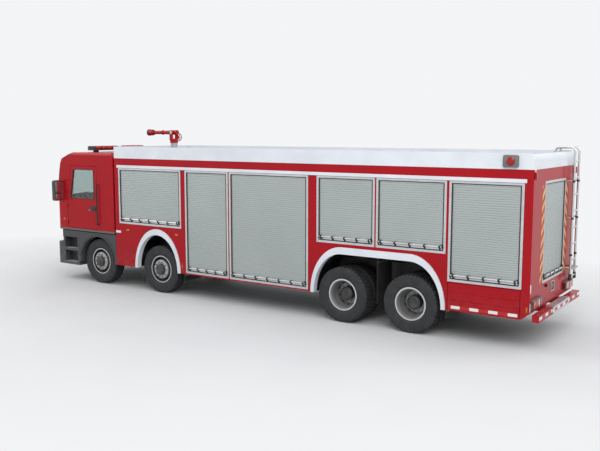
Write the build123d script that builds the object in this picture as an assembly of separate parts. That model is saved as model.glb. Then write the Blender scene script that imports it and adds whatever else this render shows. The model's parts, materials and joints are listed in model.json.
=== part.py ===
from build123d import *
import math
import os

# Water tanker fire truck on four axles. Millimetres, X forward, Y to its left, Z up.
# The origin is on the ground under the middle of the truck.

# Driving dimensions of the whole truck
LENGTH = 11900
BODY_WIDTH = 2490
FRONT_X = LENGTH / 2
FRONT_OVERHANG = 1480
FIRST_SPACING = 1950
BOGIE_SPACING = 1400
REAR_OVERHANG = 2320
MIDDLE_SPACING = LENGTH - FRONT_OVERHANG - FIRST_SPACING - BOGIE_SPACING - REAR_OVERHANG
AXLE_1_X = FRONT_X - FRONT_OVERHANG
AXLE_2_X = AXLE_1_X - FIRST_SPACING
AXLE_3_X = AXLE_2_X - MIDDLE_SPACING
AXLE_4_X = AXLE_3_X - BOGIE_SPACING
BOGIE_X = (AXLE_3_X + AXLE_4_X) / 2
HALF_WIDTH = BODY_WIDTH / 2
SEAT_GAP = 0.3
SHUT_GAP = 8

# Tyres and wheels
TYRE_RADIUS = 530
TYRE_WIDTH = 300
TYRE_BEAD_RADIUS = 286
TYRE_SHOULDER = 38
WHEEL_Z = TYRE_RADIUS
RIM_FLANGE_RADIUS = 303
RIM_WALL = 14
RIM_WIDTH = 236
DISC_WALL = 16
STEER_TRACK = 2040
DRIVE_TRACK = 1830
TWIN_SPACING = 336
STUD_CIRCLE_RADIUS = 167.5
STUD_COUNT = 10
NUT_RADIUS = 19
NUT_HEIGHT = 24
VENT_CIRCLE_RADIUS = 222
STEER_VENT_COUNT = 20
STEER_VENT_CIRCLE_RADIUS = 226
STEER_VENT_RADIUS = 12
DRIVE_VENT_COUNT = 10
DRIVE_VENT_CIRCLE_RADIUS = 217
DRIVE_VENT_RADIUS = 20
HUB_FLANGE_RADIUS = 200
HUB_BARREL_RADIUS = 128
STEER_HUB_CAP_RADIUS = 132
DRIVE_HUB_CAP_RADIUS = 135
STEER_DISC_REACH = 118
DRIVE_HUB_REACH = 165
HUB_BORE_RADIUS = 44
HUB_BORE_GAP = 0.6
BRAKE_DRUM_RADIUS = 210
BRAKE_DRUM_WIDTH = 150

# Chassis frame
FRAME_WIDTH = 860
RAIL_HEIGHT = 300
RAIL_TOP_Z = 1080
RAIL_FLANGE = 80
RAIL_WALL = 10
FRAME_FRONT_X = FRONT_X - 330
FRAME_REAR_X = -FRONT_X + 240
RAIL_BOTTOM_Z = RAIL_TOP_Z - RAIL_HEIGHT
RAIL_OUTER_Y = FRAME_WIDTH / 2
RAIL_INNER_Y = RAIL_OUTER_Y - RAIL_FLANGE
CROSS_MEMBER_LENGTH = 120
CROSS_MEMBER_HEIGHT = 180

# Steered axles: the kingpin stands just inside the wheel
KINGPIN_Y = STEER_TRACK / 2 - 170
KINGPIN_RADIUS = 24
KINGPIN_GAP = 0.6
BEAM_HEIGHT = 110
BEAM_DEPTH = 100
BEAM_DROP = 90
EYE_HEIGHT = 110
EYE_RADIUS = 52
FORK_ARM = 34
FORK_GAP = 6

# Springs
SPRING_WIDTH = 80
SPRING_Y = RAIL_OUTER_Y - RAIL_FLANGE / 2
FRONT_SPRING_HALF = 740
FRONT_SPRING_WALL = 46
REAR_SPRING_WALL = 110

# Superstructure
BODY_FRONT_X = FRONT_X - 2120
BODY_REAR_X = -FRONT_X + 175
BODY_BOTTOM_Z = 520
REAR_PANEL_BOTTOM_Z = 640
BODY_TOP_Z = 2978
DECK_WALL = 12
PARAPET_HEIGHT = 262
PARAPET_TOP_Z = BODY_TOP_Z + PARAPET_HEIGHT
PARAPET_WALL = 60
PARAPET_CORNER = 120
TUNNEL_HALF_WIDTH = 560
TUNNEL_TOP_Z = 1130
REAR_CHAMFER_LENGTH = 157
REAR_CHAMFER_HEIGHT = 127
DRIP_RAIL_BOTTOM_Z = BODY_TOP_Z - 212
DRIP_RAIL_HEIGHT = 61
DRIP_RAIL_DEPTH = 14
DRIP_RAIL_REAR_INSET = 110
DRIP_RAIL_FRONT_INSET = 90

# Wheel arches: half an ellipse standing on the body's lower edge
ARCH_HALF_WIDTH = 610
ARCH_TOP_Z = 1310
ARCH_BAND_SIDE = 75
ARCH_BAND_TOP = 130
ARCH_BAND_DEPTH = 25
ARCH_LIP_WALL = 12
ARCH_LIP_DEPTH = 90
STEER_POCKET_HALF = 672

# Number plate holes in the rear panel
PLATE_Y = 359
PLATE_Z = 873
PLATE_HOLE_SPACING_Y = 228
PLATE_HOLE_SPACING_Z = 115
PLATE_HOLE_RADIUS = 3.5
PLATE_HOLE_DEPTH = 15

# Square box in the middle of the rear panel
TAIL_BOX_WIDTH = 193
TAIL_BOX_HEIGHT = 186
TAIL_BOX_LOW_Z = 815
TAIL_BOX_FRAME = 17
TAIL_BOX_DEPTH = 24

# Roller shutters
SHUTTER_RECESS = 24
SHUTTER_FRAME_WIDTH = 42
SLAT_PITCH = 40
SLAT_WALL = 10
SLAT_GROOVE = 3
SHUTTER_RAIL_HEIGHT = 95
MID_SHUTTER_BOTTOM_Z = 548
HIGH_SHUTTER_BOTTOM_Z = 1500
LAST_SHUTTER_BOTTOM_Z = 1030
REAR_SHUTTER_BOTTOM_Z = 1044
REAR_SHUTTER_WIDTH = 1232


def box(x0, x1, y0, y1, z0, z1):
    """A block between two corners."""
    size = (abs(x1 - x0), abs(y1 - y0), abs(z1 - z0))
    return Pos((x0 + x1) / 2, (y0 + y1) / 2, (z0 + z1) / 2) * Box(*size)


def round_x(radius, x0, x1, y, z):
    """A cylinder along X."""
    return Pos((x0 + x1) / 2, y, z) * Rot(0, 90, 0) * Cylinder(radius, abs(x1 - x0))


def round_y(radius, y0, y1, x, z):
    """A cylinder along Y."""
    return Pos(x, (y0 + y1) / 2, z) * Rot(90, 0, 0) * Cylinder(radius, abs(y1 - y0))


def round_z(radius, z0, z1, x, y):
    """A cylinder along Z."""
    return Pos(x, y, (z0 + z1) / 2) * Cylinder(radius, abs(z1 - z0))


def slab(points, y0, y1):
    """A side-view outline of (x, z) points, as thick as from y0 to y1."""
    outline = Polyline(*[(x, y0, z) for x, z in points], close=True)
    return extrude(make_face(outline), amount=y1 - y0, dir=(0, 1, 0))


def plan_slab(points, z0, z1):
    """A plan-view outline of (x, y) points, as high as from z0 to z1."""
    outline = Polyline(*[(x, y, z0) for x, y in points], close=True)
    return extrude(make_face(outline), amount=z1 - z0, dir=(0, 0, 1))


def front_slab(points, x0, x1):
    """A front-view outline of (y, z) points, as long as from x0 to x1."""
    outline = Polyline(*[(x0, y, z) for y, z in points], close=True)
    return extrude(make_face(outline), amount=x1 - x0, dir=(1, 0, 0))


def spun(points, x, z):
    """A ring turned about the wheel axis at (x, z) from (radius, y) points."""
    outline = Polyline(*[(x + radius, y, z) for radius, y in points], close=True)
    return revolve(make_face(outline), axis=Axis((x, 0, z), (0, 1, 0)))


def other_side(shape):
    """The same piece on the truck's right side."""
    return mirror(shape, Plane.XZ)


def both_sides(shape):
    return [shape, other_side(shape)]


def save(name, *pieces):
    """Writes one node from its solids."""
    solids = []
    for piece in pieces:
        solids += piece.solids()
    export_step(Compound(children=solids) if len(solids) > 1 else solids[0], f"parts/{name}.step")


os.makedirs("parts", exist_ok=True)


# Chassis frame: two channel rails, cross-members, cab pivots and the cab's rear rest
CAB_PIVOT_X = FRONT_X - 150
CAB_PIVOT_Z = 985
CAB_PIVOT_RADIUS = 22
CAB_EAR_RADIUS = 42
CAB_PIN_LENGTH = 120
CAB_FLOOR_BOTTOM_Z = 1225
CAB_REST_X = BODY_FRONT_X + 190
ENGINE_HALF_WIDTH = 320
ENGINE_FRONT_X = FRONT_X - 750
ENGINE_REAR_X = BODY_FRONT_X + 230
ENGINE_MOUNT_INSET = 150
ENGINE_BOTTOM_Z = 700
ENGINE_TOP_Z = 1470
CROSS_MEMBER_X = [
    FRAME_FRONT_X - 90,
    (AXLE_1_X + AXLE_2_X) / 2,
    AXLE_2_X - 900,
    AXLE_3_X + 1900,
    AXLE_3_X + 900,
    BOGIE_X,
    AXLE_4_X - 900,
    FRAME_REAR_X + 60,
]


def make_chassis_frame():
    """Rails, cross-members, engine mounts, body bearers, and the cab's pivots and rear rests."""
    channel = [
        (RAIL_OUTER_Y, RAIL_BOTTOM_Z),
        (RAIL_OUTER_Y, RAIL_TOP_Z),
        (RAIL_INNER_Y, RAIL_TOP_Z),
        (RAIL_INNER_Y, RAIL_TOP_Z - RAIL_WALL),
        (RAIL_OUTER_Y - RAIL_WALL, RAIL_TOP_Z - RAIL_WALL),
        (RAIL_OUTER_Y - RAIL_WALL, RAIL_BOTTOM_Z + RAIL_WALL),
        (RAIL_INNER_Y, RAIL_BOTTOM_Z + RAIL_WALL),
        (RAIL_INNER_Y, RAIL_BOTTOM_Z),
    ]
    web_y = RAIL_OUTER_Y - RAIL_WALL - SEAT_GAP
    middle_z = (RAIL_TOP_Z + RAIL_BOTTOM_Z) / 2
    half_height = CROSS_MEMBER_HEIGHT / 2
    half_length = CROSS_MEMBER_LENGTH / 2
    pieces = [
        box(x - half_length, x + half_length, -web_y, web_y, middle_z - half_height, middle_z + half_height)
        for x in CROSS_MEMBER_X
    ]
    left = [front_slab(channel, FRAME_REAR_X, FRAME_FRONT_X)]
    for x in (ENGINE_FRONT_X - ENGINE_MOUNT_INSET, ENGINE_REAR_X + ENGINE_MOUNT_INSET):
        left.append(box(x - 60, x + 60, ENGINE_HALF_WIDTH + SEAT_GAP, web_y, middle_z - 60, middle_z + 60))
    # cab pivot: an upright on the rail's nose with a pin that points outwards
    pivot = box(
        FRAME_FRONT_X + SEAT_GAP, CAB_PIVOT_X, RAIL_INNER_Y, RAIL_OUTER_Y,
        RAIL_BOTTOM_Z + 60, CAB_PIVOT_Z + CAB_EAR_RADIUS,
    )
    pivot += round_y(CAB_EAR_RADIUS, RAIL_INNER_Y, RAIL_OUTER_Y, CAB_PIVOT_X, CAB_PIVOT_Z)
    pivot += round_y(CAB_PIVOT_RADIUS, RAIL_OUTER_Y - 20, RAIL_OUTER_Y + CAB_PIN_LENGTH, CAB_PIVOT_X, CAB_PIVOT_Z)
    left.append(pivot)
    # bearer between the rail and the body
    left.append(
        box(
            BODY_REAR_X + 60, BODY_FRONT_X, RAIL_INNER_Y, RAIL_OUTER_Y,
            RAIL_TOP_Z + SEAT_GAP, TUNNEL_TOP_Z,
        )
    )
    # the cab's rear rest
    left.append(
        box(
            CAB_REST_X - 40, CAB_REST_X + 40, RAIL_INNER_Y, RAIL_OUTER_Y + 40,
            RAIL_TOP_Z + SEAT_GAP, CAB_FLOOR_BOTTOM_Z - SEAT_GAP,
        )
    )
    for piece in left:
        pieces += both_sides(piece)
    return pieces


def make_springs():
    """Front leaf springs with their hangers, and the bogie's inverted springs on their trunnions."""
    pieces = []
    eye_z = RAIL_BOTTOM_Z - 45
    half_width = SPRING_WIDTH / 2
    for axle_x in (AXLE_1_X, AXLE_2_X):
        low_z = BEAM_TOP_Z
        leaf = [
            (axle_x - FRONT_SPRING_HALF, eye_z),
            (axle_x - FRONT_SPRING_HALF * 0.5, low_z + 18),
            (axle_x - 70, low_z),
            (axle_x + 70, low_z),
            (axle_x + FRONT_SPRING_HALF * 0.5, low_z + 18),
            (axle_x + FRONT_SPRING_HALF, eye_z),
            (axle_x + FRONT_SPRING_HALF, eye_z + 16),
            (axle_x + FRONT_SPRING_HALF * 0.5, low_z + 18 + FRONT_SPRING_WALL * 0.7),
            (axle_x + 70, low_z + FRONT_SPRING_WALL),
            (axle_x - 70, low_z + FRONT_SPRING_WALL),
            (axle_x - FRONT_SPRING_HALF * 0.5, low_z + 18 + FRONT_SPRING_WALL * 0.7),
            (axle_x - FRONT_SPRING_HALF, eye_z + 16),
        ]
        spring = slab(leaf, SPRING_Y - half_width, SPRING_Y + half_width)
        for end in (-1, 1):
            x = axle_x + end * FRONT_SPRING_HALF
            spring += box(x - 35, x + 35, SPRING_Y - half_width, SPRING_Y + half_width, eye_z - 20, RAIL_BOTTOM_Z)
        spring += box(axle_x - 60, axle_x + 60, SPRING_Y - half_width, SPRING_Y + half_width, low_z, low_z + 80)
        pieces += both_sides(spring)
    # bogie: high in the middle under the rail, ends on the axles
    ends_z = WHEEL_Z + AXLE_TUBE_HEIGHT / 2
    top_z = RAIL_BOTTOM_Z - 6
    arch = [
        (AXLE_4_X - 70, ends_z),
        (AXLE_4_X + 70, ends_z),
        (BOGIE_X - 90, top_z - REAR_SPRING_WALL),
        (BOGIE_X + 90, top_z - REAR_SPRING_WALL),
        (AXLE_3_X - 70, ends_z),
        (AXLE_3_X + 70, ends_z),
        (AXLE_3_X + 70, ends_z + 26),
        (BOGIE_X + 90, top_z),
        (BOGIE_X - 90, top_z),
        (AXLE_4_X - 70, ends_z + 26),
    ]
    spring = slab(arch, SPRING_Y - half_width, SPRING_Y + half_width)
    spring += box(
        BOGIE_X - 110, BOGIE_X + 110, SPRING_Y - half_width, SPRING_Y + half_width,
        WHEEL_Z - 60, RAIL_BOTTOM_Z,
    )
    pieces += both_sides(spring)
    return pieces


BEAM_TOP_Z = WHEEL_Z - BEAM_DROP + BEAM_HEIGHT / 2
AXLE_TUBE_HEIGHT = 150
AXLE_TUBE_DEPTH = 150
BANJO_RADIUS = 230
BANJO_WIDTH = 260
DRIVE_HUB_INNER_Y = DRIVE_TRACK / 2 - 260
PROP_RADIUS = 55
PINION_RADIUS = 95
PINION_REACH = 90
CHAMBER_RADIUS = 62
CHAMBER_LENGTH = 250
CHAMBER_STEM = 50
CHAMBER_Y = 508
CHAMBER_RISE = 30


def make_steer_axles():
    """Dropped beams with an eye at each end, where the kingpin stands."""
    pieces = []
    drop_z = WHEEL_Z - BEAM_DROP
    half = BEAM_HEIGHT / 2
    for axle_x in (AXLE_1_X, AXLE_2_X):
        outline = []
        for sign, reach in ((1, 1), (-1, -1)):
            level = half * sign
            outline += [
                (reach * -(KINGPIN_Y - 20), WHEEL_Z + level * 0.8),
                (reach * -(KINGPIN_Y - 110), WHEEL_Z + level * 0.8),
                (reach * -(KINGPIN_Y - 250), drop_z + level),
                (reach * (KINGPIN_Y - 250), drop_z + level),
                (reach * (KINGPIN_Y - 110), WHEEL_Z + level * 0.8),
                (reach * (KINGPIN_Y - 20), WHEEL_Z + level * 0.8),
            ]
        beam = front_slab(outline, axle_x - BEAM_DEPTH / 2, axle_x + BEAM_DEPTH / 2)
        for side in (1, -1):
            eye = round_z(EYE_RADIUS, WHEEL_Z - EYE_HEIGHT / 2, WHEEL_Z + EYE_HEIGHT / 2, axle_x, side * KINGPIN_Y)
            beam += eye
            beam -= round_z(KINGPIN_RADIUS + KINGPIN_GAP, 0, 2 * WHEEL_Z, axle_x, side * KINGPIN_Y)
        pieces.append(beam)
    return pieces


def make_drive_axles():
    """Banjo axles, their stub ends inside the hubs, and the propeller shafts between them."""
    pieces = []
    stub_end = DRIVE_TRACK / 2 + 60
    for axle_x in (AXLE_3_X, AXLE_4_X):
        half_depth = AXLE_TUBE_DEPTH / 2
        half_height = AXLE_TUBE_HEIGHT / 2
        axle = box(
            axle_x - half_depth, axle_x + half_depth, -DRIVE_HUB_INNER_Y, DRIVE_HUB_INNER_Y,
            WHEEL_Z - half_height, WHEEL_Z + half_height,
        )
        axle += Pos(axle_x, 0, WHEEL_Z) * Sphere(BANJO_RADIUS) & box(
            axle_x - BANJO_RADIUS, axle_x + BANJO_RADIUS, -BANJO_WIDTH / 2, BANJO_WIDTH / 2,
            WHEEL_Z - BANJO_RADIUS, WHEEL_Z + BANJO_RADIUS,
        )
        axle += round_y(HUB_BORE_RADIUS, -stub_end, stub_end, axle_x, WHEEL_Z)
        # the pinion housing points forward
        axle += round_x(PINION_RADIUS, axle_x, axle_x + BANJO_RADIUS + PINION_REACH, 0, WHEEL_Z)
        # brake chambers stand behind the axle, just inside the wheels
        rear_x = axle_x - half_depth
        for side in (1, -1):
            chamber = round_x(
                CHAMBER_RADIUS, rear_x - CHAMBER_LENGTH, rear_x - CHAMBER_STEM,
                side * CHAMBER_Y, WHEEL_Z + CHAMBER_RISE,
            )
            chamber += round_x(
                CHAMBER_RADIUS + 6, rear_x - CHAMBER_LENGTH / 2 - 8, rear_x - CHAMBER_LENGTH / 2 + 8,
                side * CHAMBER_Y, WHEEL_Z + CHAMBER_RISE,
            )
            chamber += round_x(
                CHAMBER_RADIUS / 2, rear_x - CHAMBER_STEM - 1, rear_x + 1,
                side * CHAMBER_Y, WHEEL_Z + CHAMBER_RISE,
            )
            axle += chamber
        pieces.append(axle)
    flange_x = BANJO_RADIUS + PINION_REACH + SEAT_GAP
    between = round_x(PROP_RADIUS, AXLE_4_X + flange_x, AXLE_3_X - BANJO_RADIUS - SEAT_GAP, 0, WHEEL_Z)
    start = (AXLE_3_X + flange_x + 3, WHEEL_Z)
    end = (ENGINE_REAR_X - 3, ENGINE_BOTTOM_Z + 70)
    length = math.hypot(end[0] - start[0], end[1] - start[1])
    tilt = math.degrees(math.atan2(end[1] - start[1], end[0] - start[0]))
    middle = ((start[0] + end[0]) / 2, 0, (start[1] + end[1]) / 2)
    pieces.append(between)
    pieces.append(Pos(*middle) * Rot(0, 90 - tilt, 0) * Cylinder(PROP_RADIUS, length))
    return pieces


# Steering knuckles: a fork round the axle's eye, with the kingpin and the wheel's spindle
def make_knuckle(axle_x):
    """The left knuckle of one steered axle."""
    eye_half = EYE_HEIGHT / 2
    arm_in = eye_half + FORK_GAP
    arm_out = arm_in + FORK_ARM
    back_y = KINGPIN_Y + EYE_RADIUS + FORK_GAP
    block_end = back_y + KNUCKLE_BLOCK
    knuckle = round_z(KINGPIN_RADIUS, WHEEL_Z - arm_out, WHEEL_Z + arm_out, axle_x, KINGPIN_Y)
    half = KNUCKLE_HALF
    knuckle += box(axle_x - half, axle_x + half, back_y, block_end, WHEEL_Z - arm_out, WHEEL_Z + arm_out)
    for low in (WHEEL_Z + arm_in, WHEEL_Z - arm_out):
        knuckle += round_z(EYE_RADIUS, low, low + FORK_ARM, axle_x, KINGPIN_Y)
        knuckle += box(axle_x - half, axle_x + half, KINGPIN_Y, back_y + 1, low, low + FORK_ARM)
    knuckle += round_y(HUB_BORE_RADIUS, block_end - 1, STEER_TRACK / 2 + SPINDLE_REACH, axle_x, WHEEL_Z)
    # the steering arm points back, where the track rod's ball joint sits
    knuckle += box(
        axle_x - STEER_ARM_LENGTH, axle_x, KINGPIN_Y + 15, KINGPIN_Y + 50,
        WHEEL_Z - arm_out, WHEEL_Z - arm_in,
    )
    return knuckle


KNUCKLE_HALF = 46
KNUCKLE_BLOCK = 36
SPINDLE_REACH = 60
STEER_ARM_LENGTH = 190


def make_tyre(centre_y, axle_x):
    half = TYRE_WIDTH / 2
    seat = RIM_WIDTH / 2 - 15
    profile = [
        (TYRE_BEAD_RADIUS + SEAT_GAP, centre_y - seat),
        (RIM_FLANGE_RADIUS + 4, centre_y - seat),
        (RIM_FLANGE_RADIUS + 40, centre_y - half + 8),
        (TYRE_RADIUS - 100, centre_y - half),
        (TYRE_RADIUS - TYRE_SHOULDER, centre_y - half + 6),
        (TYRE_RADIUS, centre_y - half + TYRE_SHOULDER),
        (TYRE_RADIUS, centre_y + half - TYRE_SHOULDER),
        (TYRE_RADIUS - TYRE_SHOULDER, centre_y + half - 6),
        (TYRE_RADIUS - 100, centre_y + half),
        (RIM_FLANGE_RADIUS + 40, centre_y + half - 8),
        (RIM_FLANGE_RADIUS + 4, centre_y + seat),
        (TYRE_BEAD_RADIUS + SEAT_GAP, centre_y + seat),
    ]
    return spun(profile, axle_x, WHEEL_Z)


def make_barrel(centre_y, axle_x):
    """A rim without its disc."""
    half = RIM_WIDTH / 2
    well = TYRE_BEAD_RADIUS - 26
    profile = [
        (RIM_FLANGE_RADIUS, centre_y - half),
        (RIM_FLANGE_RADIUS, centre_y - half + 12),
        (TYRE_BEAD_RADIUS, centre_y - half + 15),
        (well, centre_y - 30),
        (well, centre_y + 30),
        (TYRE_BEAD_RADIUS, centre_y + half - 15),
        (RIM_FLANGE_RADIUS, centre_y + half - 12),
        (RIM_FLANGE_RADIUS, centre_y + half),
        (TYRE_BEAD_RADIUS - RIM_WALL + 4, centre_y + half),
        (well - RIM_WALL, centre_y + 34),
        (well - RIM_WALL, centre_y - 34),
        (TYRE_BEAD_RADIUS - RIM_WALL + 4, centre_y - half),
    ]
    return spun(profile, axle_x, WHEEL_Z)


def vent_holes(count, circle, radius, y0, y1, axle_x):
    """A ring of round holes through a wheel disc."""
    holes = []
    for number in range(count):
        angle = 2 * math.pi * (number + 0.5) / count
        x = axle_x + circle * math.cos(angle)
        holes.append(round_y(radius, y0, y1, x, WHEEL_Z + circle * math.sin(angle)))
    return holes


def make_steer_rim(axle_x):
    """The left steered wheel's rim: convex disc, hub with its cap, and brake drum."""
    centre_y = STEER_TRACK / 2
    rim = make_barrel(centre_y, axle_x)
    face = centre_y + STEER_DISC_REACH
    back = face - DISC_WALL
    well = TYRE_BEAD_RADIUS - 26 - RIM_WALL / 2
    disc = [
        (well, centre_y - 10),
        (well, centre_y + 28),
        (VENT_CIRCLE_RADIUS + 8, face - 24),
        (HUB_FLANGE_RADIUS + 4, face),
        (STEER_HUB_CAP_RADIUS + 6, face),
        (STEER_HUB_CAP_RADIUS, face + 10),
        (STEER_HUB_CAP_RADIUS - 8, face + 46),
        (STEER_HUB_CAP_RADIUS - 34, face + 66),
        (STEER_HUB_CAP_RADIUS - 62, face + 68),
        (STEER_HUB_CAP_RADIUS - 70, face + 76),
        (0, face + 76),
        (0, centre_y + SPINDLE_REACH + 12),
        (HUB_BORE_RADIUS + HUB_BORE_GAP, centre_y + SPINDLE_REACH + 12),
        (HUB_BORE_RADIUS + HUB_BORE_GAP, centre_y - 62),
        (BRAKE_DRUM_RADIUS, centre_y - 62),
        (BRAKE_DRUM_RADIUS, centre_y + 44),
        (HUB_BARREL_RADIUS, centre_y + 56),
        (HUB_BARREL_RADIUS, back),
        (HUB_FLANGE_RADIUS - 4, back),
    ]
    disc = spun(disc, axle_x, WHEEL_Z)
    disc -= vent_holes(
        STEER_VENT_COUNT, STEER_VENT_CIRCLE_RADIUS, STEER_VENT_RADIUS,
        back - 30, face + 1, axle_x,
    )
    return rim + disc


def make_drive_rims(axle_x):
    """The left twin wheels' rims: dished discs back to back, hub with its cap, and brake drum."""
    middle = DRIVE_TRACK / 2
    rims = make_barrel(middle + TWIN_SPACING / 2, axle_x)
    rims += make_barrel(middle - TWIN_SPACING / 2, axle_x)
    well = TYRE_BEAD_RADIUS - 26 - RIM_WALL / 2
    weld = TWIN_SPACING / 2 - 32
    discs = [
        (well, middle + weld),
        (well - 12, middle + weld),
        (VENT_CIRCLE_RADIUS, middle + DISC_WALL + 30),
        (HUB_FLANGE_RADIUS, middle + DISC_WALL),
        (DRIVE_HUB_CAP_RADIUS + 8, middle + DISC_WALL),
        (DRIVE_HUB_CAP_RADIUS, middle + DISC_WALL + 16),
        (DRIVE_HUB_CAP_RADIUS - 6, middle + DRIVE_HUB_REACH - 20),
        (DRIVE_HUB_CAP_RADIUS - 40, middle + DRIVE_HUB_REACH),
        (0, middle + DRIVE_HUB_REACH),
        (0, middle + 72),
        (HUB_BORE_RADIUS + HUB_BORE_GAP, middle + 72),
        (HUB_BORE_RADIUS + HUB_BORE_GAP, middle - 250),
        (BRAKE_DRUM_RADIUS, middle - 250),
        (BRAKE_DRUM_RADIUS, middle - DISC_WALL - 24),
        (VENT_CIRCLE_RADIUS, middle - DISC_WALL - 30),
        (well - 12, middle - weld),
        (well, middle - weld),
        (VENT_CIRCLE_RADIUS + 18, middle),
    ]
    discs = spun(discs, axle_x, WHEEL_Z)
    discs -= vent_holes(
        DRIVE_VENT_COUNT, DRIVE_VENT_CIRCLE_RADIUS, DRIVE_VENT_RADIUS,
        middle, middle + 80, axle_x,
    )
    return rims + discs


def make_wheels():
    """Eight wheel bodies and four knuckles, each node written by itself."""
    steer_y = STEER_TRACK / 2
    twin_y = [DRIVE_TRACK / 2 - TWIN_SPACING / 2, DRIVE_TRACK / 2 + TWIN_SPACING / 2]
    for number, axle_x in ((1, AXLE_1_X), (2, AXLE_2_X)):
        parts = {
            "knuckle": [make_knuckle(axle_x)],
            "tyre": [make_tyre(steer_y, axle_x)],
            "rim": [make_steer_rim(axle_x)],
        }
        for name, shapes in parts.items():
            save(f"{name}_{number}_left", *shapes)
            save(f"{name}_{number}_right", *[other_side(shape) for shape in shapes])
    for number, axle_x in ((3, AXLE_3_X), (4, AXLE_4_X)):
        parts = {
            "tyres": [make_tyre(y, axle_x) for y in twin_y],
            "rims": [make_drive_rims(axle_x)],
        }
        for name, shapes in parts.items():
            save(f"{name}_{number}_left", *shapes)
            save(f"{name}_{number}_right", *[other_side(shape) for shape in shapes])


# Superstructure
def arch_outline(rear_x, front_x, grow_side, grow_top, y):
    """Half an ellipse at each end of the arch, with a flat top between two axles."""
    half = ARCH_HALF_WIDTH + grow_side
    height = ARCH_TOP_Z - BODY_BOTTOM_Z + grow_top
    base = BODY_BOTTOM_Z
    plane = Plane(origin=(0, y, 0), x_dir=(1, 0, 0), z_dir=(0, -1, 0))
    rear = plane * EllipticalCenterArc((rear_x, base), half, height, start_angle=90, arc_size=90)
    front = plane * EllipticalCenterArc((front_x, base), half, height, start_angle=0, arc_size=90)
    foot = base - 60
    edges = [rear, front]
    if front_x > rear_x:
        edges.append(Line((rear_x, y, base + height), (front_x, y, base + height)))
    edges.append(Line((rear_x - half, y, base), (rear_x - half, y, foot)))
    edges.append(Line((rear_x - half, y, foot), (front_x + half, y, foot)))
    edges.append(Line((front_x + half, y, foot), (front_x + half, y, base)))
    return make_face(edges)


def arch_prism(rear_x, front_x, grow_side, grow_top, y0, y1):
    return extrude(arch_outline(rear_x, front_x, grow_side, grow_top, y0), amount=y1 - y0, dir=(0, 1, 0))


ARCHES = [(AXLE_2_X, AXLE_2_X), (AXLE_4_X, AXLE_3_X)]

# Shutters: side (1 left, -1 right), front edge, rear edge, lower edge; the upper edge is the drip rail
LAST_SHUTTER_FRONT_X = AXLE_4_X - 715
LAST_SHUTTER_REAR_X = BODY_REAR_X + 145
PUMP_SHUTTER_FRONT_X = BODY_FRONT_X - 130
PUMP_SHUTTER_REAR_X = AXLE_2_X - 720
LEFT_BAY_FRONT_X = AXLE_2_X - 844
LEFT_BAY_REAR_X = AXLE_3_X + 754
LEFT_BAY_POST = 29
LEFT_BAY_SPLIT_X = LEFT_BAY_FRONT_X - 0.38 * (LEFT_BAY_FRONT_X - LEFT_BAY_REAR_X)
RIGHT_BAY_FRONT_X = AXLE_2_X - 782
RIGHT_BAY_REAR_X = AXLE_3_X + 932
RIGHT_BAY_POST = 37
RIGHT_BAY_SPLIT_X = RIGHT_BAY_FRONT_X - 0.549 * (RIGHT_BAY_FRONT_X - RIGHT_BAY_REAR_X)
SHUTTERS = [
    (1, LEFT_BAY_FRONT_X, LEFT_BAY_SPLIT_X + LEFT_BAY_POST / 2, MID_SHUTTER_BOTTOM_Z),
    (1, LEFT_BAY_SPLIT_X - LEFT_BAY_POST / 2, LEFT_BAY_REAR_X, MID_SHUTTER_BOTTOM_Z),
    (-1, RIGHT_BAY_FRONT_X, RIGHT_BAY_SPLIT_X + RIGHT_BAY_POST / 2, MID_SHUTTER_BOTTOM_Z),
    (-1, RIGHT_BAY_SPLIT_X - RIGHT_BAY_POST / 2, RIGHT_BAY_REAR_X, MID_SHUTTER_BOTTOM_Z),
    (1, AXLE_3_X + 560, BOGIE_X + 15, HIGH_SHUTTER_BOTTOM_Z),
    (-1, AXLE_3_X + 560, BOGIE_X + 15, HIGH_SHUTTER_BOTTOM_Z),
    (1, BOGIE_X - 15, AXLE_4_X - 670, HIGH_SHUTTER_BOTTOM_Z),
    (-1, BOGIE_X - 15, AXLE_4_X - 670, HIGH_SHUTTER_BOTTOM_Z),
    (1, LAST_SHUTTER_FRONT_X, LAST_SHUTTER_REAR_X, LAST_SHUTTER_BOTTOM_Z),
    (-1, LAST_SHUTTER_FRONT_X, LAST_SHUTTER_REAR_X, LAST_SHUTTER_BOTTOM_Z),
    (1, PUMP_SHUTTER_FRONT_X, PUMP_SHUTTER_REAR_X, HIGH_SHUTTER_BOTTOM_Z),
    (-1, PUMP_SHUTTER_FRONT_X, PUMP_SHUTTER_REAR_X, HIGH_SHUTTER_BOTTOM_Z),
]

# Fold-down steps under the last shutters
STEP_FRONT_X = LAST_SHUTTER_FRONT_X - 10
STEP_REAR_X = BODY_REAR_X + 165
STEP_BOTTOM_Z = BODY_BOTTOM_Z + 5
STEP_TOP_Z = LAST_SHUTTER_BOTTOM_Z - 20
STEP_WALL = 38
STEP_PIVOT_INSET = 12
STEP_PIN_RADIUS = 7
STEP_PIN_LENGTH = 22
STEP_PIN_GAP = 0.4
STEP_POCKET_DEPTH = STEP_WALL + 8


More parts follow.
